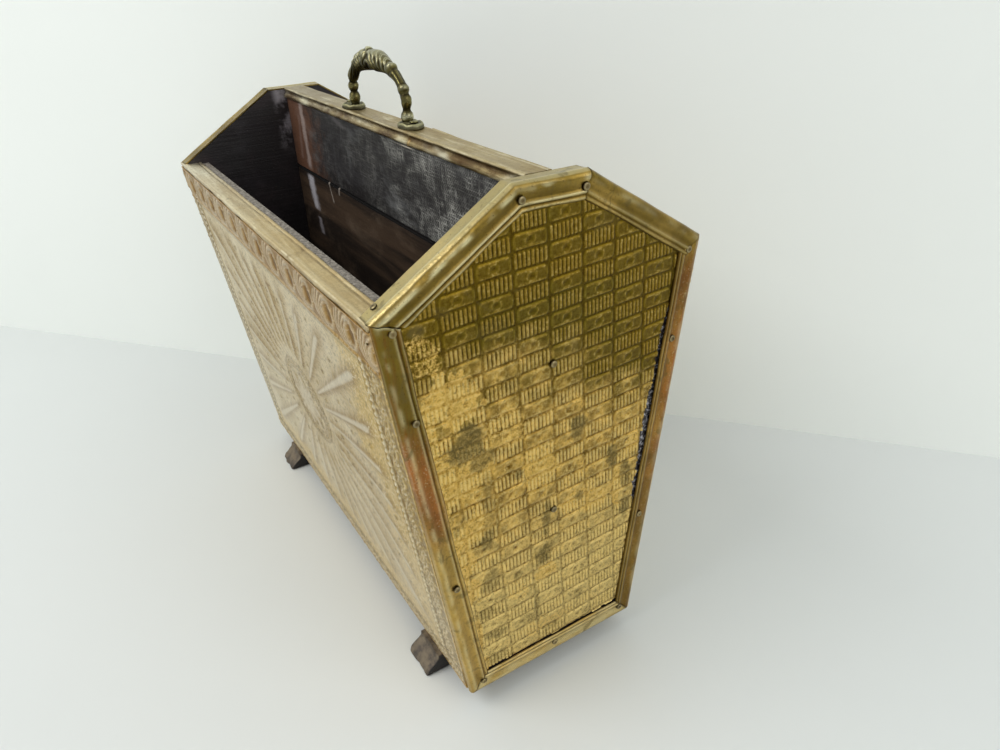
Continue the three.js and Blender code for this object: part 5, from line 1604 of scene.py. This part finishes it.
def board_material(name, dark, light, scuff, scuffed, marks=(), bare_above=None, hatched_from=None):
    """Stained board: dark and lighter streaks along the grain, fibres, pale scuffs and marks. From
    `hatched_from` along X a fine weave is printed in the stain. Above `bare_above` the board's edge is
    rubbed grey."""
    coat = Coat(name)
    grain = coat.group("Wood grain")
    height = coat.axis("Z")
    coat.base = coat.mix(coat.ramp(grain["Streaks"], 0.4, 0.65), dark, light)
    coat.lay((coat.ramp(grain["Fibres"], 0.5, 0.75), dark, 0.5), (grain["Scuffs"], scuff, scuffed))
    if hatched_from is not None:
        coat.lay((printed_weave(coat, hatched_from), PRINTED_WEAVE, 1))
    # Painted shadow: a black band at the joint between the divider's planks
    joint = coat.band(height, DIVIDER_JOINT - 1.6 * MM, DIVIDER_JOINT + 1.2 * MM, 0.7 * MM)
    coat.lay((joint, JOINT_SHADOW, 0.95))
    ragged = coat.minus(coat.random(80, 6, 0.75), 0.5)
    for start, stop, width, tone, amount in marks:
        coat.lay((mark_mask(coat, ragged, start, stop, width), tone, amount))
    if bare_above is not None:
        bare = coat.ramp(height, bare_above - 2 * MM, bare_above - 0.5 * MM)
        stipple = coat.ramp(coat.random(420, 5, 0.75), 0.34, 0.7)
        coat.lay((bare, coat.mix(stipple, *BARE_EDGE), 1))
    rough = coat.larger(coat.ramp(grain["Scuffs"], 0, 1, 0.55, 0.75), joint)
    coat.shader.inputs["Specular IOR Level"].default_value = 0.25
    return coat.finish(rough, grain["Fibres"], 0.5 * MM, 0.5, metallic=0)


def end_board_material(colours):
    """Stained end board, seen inside the box, where a patch near its top is rubbed, and along the torn edge
    of the sheet, where old whitish scale clings to it in fine grains."""
    coat = Coat("Black stained end board")
    grain = coat.group("Wood grain", Vector=coat.mapped((1, 1, 1), QUARTER_TURN))
    height = coat.axis("Z")
    sidewise = coat.maths("ABSOLUTE", coat.axis("Y"))
    clouds = coat.ramp(coat.random(14, 5, 0.6, 0.5), 0.42, 0.68)
    scale = coat.times(coat.band(sidewise, 58 * MM, 96 * MM, 4 * MM),
                       coat.band(height, BOX_Z + 100 * MM, BOX_Z + 232 * MM, 20 * MM))
    grains = coat.ramp(coat.random(560, 4, 0.7), 0.5, 0.62)
    inside = coat.minus(1, coat.ramp(coat.maths("ABSOLUTE", coat.axis("X")), 0.188, 0.19))
    rubbed = coat.times(inside, coat.ramp(coat.random(45, 5, 0.7), 0.44, 0.64),
                        coat.band(sidewise, 8 * MM, 15 * MM, 7 * MM), coat.ramp(height, 0.285, 0.31))
    coat.base = coat.mix(coat.ramp(grain["Streaks"], 0.4, 0.65), colours.stain, END_BLACK)
    coat.lay(
        (clouds, END_CLOUDS, 0.8),
        (grain["Scuffs"], END_SCUFFED, 0.1),
        (coat.times(scale, grains), END_SCALE, 0.85),
        (rubbed, END_RUBBED, 0.7))
    rough = coat.ramp(grain["Scuffs"], 0, 1, 0.5, 0.72)
    return coat.finish(rough, grain["Fibres"], 0.5 * MM, 0.5, metallic=0)


def runner_material(colours):
    """Worn runner: grey-brown and scuffed on top and at the ends, near black on the long faces as painted
    shadow.
    """
    coat = Coat("Worn runner")
    grain = coat.group("Wood grain", Vector=coat.mapped((1, 1, 1), QUARTER_TURN))
    tone = coat.random(130, 5, 0.65)
    coat.base = coat.mix(coat.ramp(tone, 0.35, 0.65), RUNNER_DARK, colours.worn_wood)
    # The long faces are painted near black as shadow
    coat.lay((grain["Scuffs"], RUNNER_SCUFFED, 0.5), (coat.own("side"), RUNNER_SIDE_SHADOW, 0.95))
    return coat.finish(coat.ramp(tone, 0.3, 0.7, 0.55, 0.75), tone, 0.8 * MM, 0.6, metallic=0)


def paint_nodes(material, *nodes):
    """Gives CAD nodes their material."""
    for node in nodes:
        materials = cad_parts[node].data.materials
        materials.clear()
        materials.append(material)


# ---- Operators ----

class RackOperator:
    """What every operator of the rack shares."""

    bl_options = {"REGISTER", "UNDO"}

    @property
    def sizes(self):
        return bpy.context.scene.rack_sizes

    @property
    def colours(self):
        return bpy.context.scene.rack_colours


class RACK_OT_boards(RackOperator, bpy.types.Operator):
    """Stain the boards of the box and of the divider"""

    bl_idname = "rack.boards"
    bl_label = "Boards"

    def execute(self, context):
        colours = self.colours
        dark = colours.stain
        material = board_material("Black stained board", dark, WARM_BLACK, SCUFFED, 0.25)
        paint_nodes(material, "bottom_board")
        material = board_material("Upper divider plank", dark, colours.stain_grey, UPPER_SCUFFED, 0.6,
                                  UPPER_MARKS, hatched_from=50 * MM)
        paint_nodes(material, "divider_upper_plank")
        material = board_material("Lower divider plank", LOWER_DARK, colours.stain_brown, LOWER_SCUFFED, 0.5,
                                  LOWER_MARKS)
        paint_nodes(material, "divider_lower_plank")
        material = board_material("Side board", dark, WARM_BLACK, SCUFFED, 0.25,
                                  bare_above=SHOULDER_Z - 1.3 * MM)
        paint_nodes(material, "front_board", "back_board")
        paint_nodes(end_board_material(colours), "left_end_board", "right_end_board")
        return {"FINISHED"}


class RACK_OT_end_sheets(RackOperator, bpy.types.Operator):
    """Emboss the sheets of the two ends"""

    bl_idname = "rack.end_sheets"
    bl_label = "End sheets"

    def execute(self, context):
        material = end_sheet_material(self.colours)
        for end, turned, *_ in ENDS:
            end_sheet(end, turned, self.sizes, material)
        return {"FINISHED"}


class RACK_OT_edging(RackOperator, bpy.types.Operator):
    """Bend the moulded edging round the two ends"""

    bl_idname = "rack.edging"
    bl_label = "End edging"

    def execute(self, context):
        edging_strips(self.sizes, edging_material(self.colours))
        return {"FINISHED"}


class RACK_OT_side_sheets(RackOperator, bpy.types.Operator):
    """Emboss the front and back sheets"""

    bl_idname = "rack.side_sheets"
    bl_label = "Front and back sheets"

    def execute(self, context):
        material = side_sheet_material(self.colours)
        side_sheet("front", False, self.sizes, material, 201)
        side_sheet("back", True, self.sizes, material, 301)
        return {"FINISHED"}


class RACK_OT_rims(RackOperator, bpy.types.Operator):
    """Fold the top strips and press the divider cap"""

    bl_idname = "rack.rims"
    bl_label = "Top strips and cap"

    def execute(self, context):
        colours = self.colours
        tones = (colours.strip, colours.strip_gold, colours.strip_dull)
        material = rim_material("Top strip brass", tones, colours, 0.4)
        top_strip("front", False, material, 401)
        top_strip("back", True, material, 451)
        tones = (colours.rim, colours.rim_gold, colours.rim_dull)
        divider_cap(rim_material("Cap brass", tones, colours, 0.8))
        return {"FINISHED"}


class RACK_OT_handle(RackOperator, bpy.types.Operator):
    """Cast the handle, its flanges and its screws"""

    bl_idname = "rack.handle"
    bl_label = "Handle"

    def execute(self, context):
        colours = self.colours
        tones = (colours.cast, colours.cast_dull, colours.cast_dark, colours.cast_light)
        material = brass_material("Antique cast brass", tones, roughness=0.24, blotches=0.2, size=2.2,
                                  recess=0.93)
        handle_casting(material)
        tones = (colours.rough, colours.rough_dull, colours.cast_dark, colours.rough_light)
        rough_cast = brass_material("Rough cast brass", tones, roughness=0.42, blotches=0.5, size=1.2,
                                    recess=0.8)
        for end, sign in (("left", -1.0), ("right", 1.0)):
            handle_flange(end, sign, rough_cast)
            node = f"{end}_handle_screw"
            low, high = box_of(node)
            place = ((low[0] + high[0]) / 2, 0.0, high[2] - 1.6 * MM)
            domed_head(f"{node}_domed", material, place, (0, 0, 1), 3 * MM, 1.5 * MM, 1.4 * MM, 20 * MM,
                       [node])
        return {"FINISHED"}


class RACK_OT_nails(RackOperator, bpy.types.Operator):
    """Drive the domed nails of the ends and finish the foot screws"""

    bl_idname = "rack.nails"
    bl_label = "Nails and screws"

    def execute(self, context):
        colours = self.colours
        tones = (colours.nail, colours.nail_dull, colours.cast_dark, colours.edging_light)
        material = brass_material("Nail brass", tones, roughness=0.3, blotches=0.3, size=3.0, recess=0.85)
        end_nails(self.sizes, material)
        paint_nodes(material, *(node for node in sorted(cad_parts) if node.endswith("foot_screw")))
        return {"FINISHED"}


class RACK_OT_feet(RackOperator, bpy.types.Operator):
    """Shape and wear the two runners"""

    bl_idname = "rack.feet"
    bl_label = "Feet"

    def execute(self, context):
        material = runner_material(self.colours)
        runner("right", 1.0, material, 81, 0.8 * MM)
        runner("left", -1.0, material, 91, 2.4 * MM)
        return {"FINISHED"}


class RACK_OT_stage(RackOperator, bpy.types.Operator):
    """Set the floor, the backdrop, the lamps and the camera"""

    bl_idname = "rack.stage"
    bl_label = "Stage"

    def execute(self, context):
        build_stage(self.colours)
        return {"FINISHED"}


# ---- Stage ----

# The backdrop's foot, the way along it, the way out from it and its rise; how far the floor and the backdrop
# reach each way; the sky; and the middle of the rack, which the lamps look at
WALL_FOOT = np.array([0.015, 0.30, -0.0005])
WALL_ALONG = np.array([0.764, 0.645, 0.0])
WALL_OUT = np.array([0.645, -0.764, 0.0])
WALL_RISE = np.array([0.0, 0.0, 2.0])
FLOOR_REACH = 8
WALL_REACH = 3
SKY = srgb(240, 244, 248)
SKY_STRENGTH = 0.6
MIDDLE = (0.0, 0.0, 0.2)


def stage_plane(name, corners, material):
    """A flat plane of the stage, which isn't part of the rack."""
    mesh = bpy.data.meshes.new(name)
    mesh.from_pydata([tuple(corner) for corner in corners], [], [(0, 1, 2, 3)])
    mesh.materials.append(material)
    put_in_scene(name, mesh)


def stage_coat(name, tone, roughness):
    """A plain pale finish with very faint clouds."""
    coat = Coat(name)
    darker = tuple(0.96 * value for value in tone)
    base = coat.mix(coat.random(3, 3), tone, darker)
    coat.tree.links.new(base, coat.shader.inputs["Base Color"])
    coat.shader.inputs["Roughness"].default_value = roughness
    return coat


def set_up(name, data, place, back, roll=0.0):
    """A lamp or a camera in its place, its back turned to `back`, and upright but for its roll."""
    level = unit(np.cross((0.0, 0.0, 1.0), back))
    upright = np.cross(back, level)
    right = math.cos(roll) * level + math.sin(roll) * upright
    up = -math.sin(roll) * level + math.cos(roll) * upright
    holder = put_in_scene(name, data)
    rows = np.stack([right, up, back, place], axis=1).tolist()
    holder.matrix_world = Matrix([*rows, (0, 0, 0, 1)])
    return holder


def add_area(name, place, size, watts):
    """A round soft lamp that looks at the rack's middle."""
    lamp = bpy.data.lights.new(name, "AREA")
    lamp.shape = "DISK"
    lamp.size = size
    lamp.energy = watts
    set_up(name, lamp, place, unit(np.subtract(place, MIDDLE)))


def build_camera():
    """A camera by its place, the way it looks and its roll."""
    azimuth, elevation, roll = math.radians(59.0), math.radians(29.55), math.radians(-2.37)
    back = np.array([math.sin(azimuth) * math.cos(elevation), -math.cos(azimuth) * math.cos(elevation),
                     math.sin(elevation)])
    place = (0.4933, -0.2117, 0.4264 + BOX_Z)
    data = bpy.data.cameras.new("Camera")
    data.sensor_width = 36.0
    data.lens = 26.93
    data.clip_start = 0.01
    bpy.context.scene.camera = set_up("Camera", data, place, back, roll)


def build_stage(colours):
    """A pale floor, a pale wall behind it that lets light and sight through from its back, an even sky and
    two large soft lamps."""
    scene = bpy.context.scene
    floor = stage_coat("Floor", colours.floor, 0.5)
    wall = stage_coat("Backdrop", colours.backdrop, 0.7)
    seen_through = wall.put("ShaderNodeMixShader", {
        0: wall.put("ShaderNodeNewGeometry").outputs["Backfacing"],
        1: wall.shader.outputs[0],
        2: wall.put("ShaderNodeBsdfTransparent").outputs[0]})
    wall.tree.links.new(seen_through.outputs[0], wall.surface.inputs["Surface"])
    turns = ((-1, -1), (-1, 1), (1, 1), (1, -1))
    corners = [WALL_FOOT + FLOOR_REACH * (along * WALL_ALONG + out * WALL_OUT) for along, out in turns]
    stage_plane("floor", corners, floor.material)
    left, right = WALL_FOOT - WALL_REACH * WALL_ALONG, WALL_FOOT + WALL_REACH * WALL_ALONG
    stage_plane("backdrop", [left, right, right + WALL_RISE, left + WALL_RISE], wall.material)
    world = bpy.data.worlds.new("Sky")
    scene.world = world
    world.use_nodes = True
    sky = world.node_tree.nodes["Background"].inputs
    sky[0].default_value = opaque(SKY)
    sky[1].default_value = SKY_STRENGTH
    add_area("Key", (-0.3, -1.6, 2.0), size=1.6, watts=28.0)
    add_area("Fill", (1.9, 0.5, 1.6), size=1.8, watts=14.0)
    scene.view_settings.view_transform = "Standard"
    build_camera()


# ---- Panel, registration and the run ----

OPERATORS = (RACK_OT_boards, RACK_OT_end_sheets, RACK_OT_edging, RACK_OT_side_sheets, RACK_OT_rims,
             RACK_OT_handle, RACK_OT_nails, RACK_OT_feet, RACK_OT_stage)


class RACK_PT_panel(bpy.types.Panel):
    """Lists the rack's operators and settings in the 3D view's sidebar"""

    bl_idname = "RACK_PT_panel"
    bl_label = "Magazine Rack"
    bl_space_type = "VIEW_3D"
    bl_region_type = "UI"
    bl_category = "Rack"

    def draw(self, context):
        layout = self.layout
        for operator in OPERATORS:
            layout.operator(operator.bl_idname)
        for settings in (context.scene.rack_sizes, context.scene.rack_colours):
            column = layout.column()
            for name in settings.bl_rna.properties.keys():
                if name not in {"rna_type", "name"}:
                    column.prop(settings, name)


CLASSES = (RackSizes, RackColours, *OPERATORS, RACK_PT_panel)


def register():
    for cls in CLASSES:
        bpy.utils.register_class(cls)
    bpy.types.Scene.rack_sizes = PointerProperty(type=RackSizes)
    bpy.types.Scene.rack_colours = PointerProperty(type=RackColours)


def unregister():
    del bpy.types.Scene.rack_sizes
    del bpy.types.Scene.rack_colours
    for cls in reversed(CLASSES):
        bpy.utils.unregister_class(cls)


def main():
    """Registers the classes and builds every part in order."""
    register()
    bpy.ops.rack.boards()
    bpy.ops.rack.end_sheets()
    bpy.ops.rack.edging()
    bpy.ops.rack.side_sheets()
    bpy.ops.rack.rims()
    bpy.ops.rack.handle()
    bpy.ops.rack.nails()
    bpy.ops.rack.feet()
    bpy.ops.rack.stage()


if __name__ == "__main__":
    main()
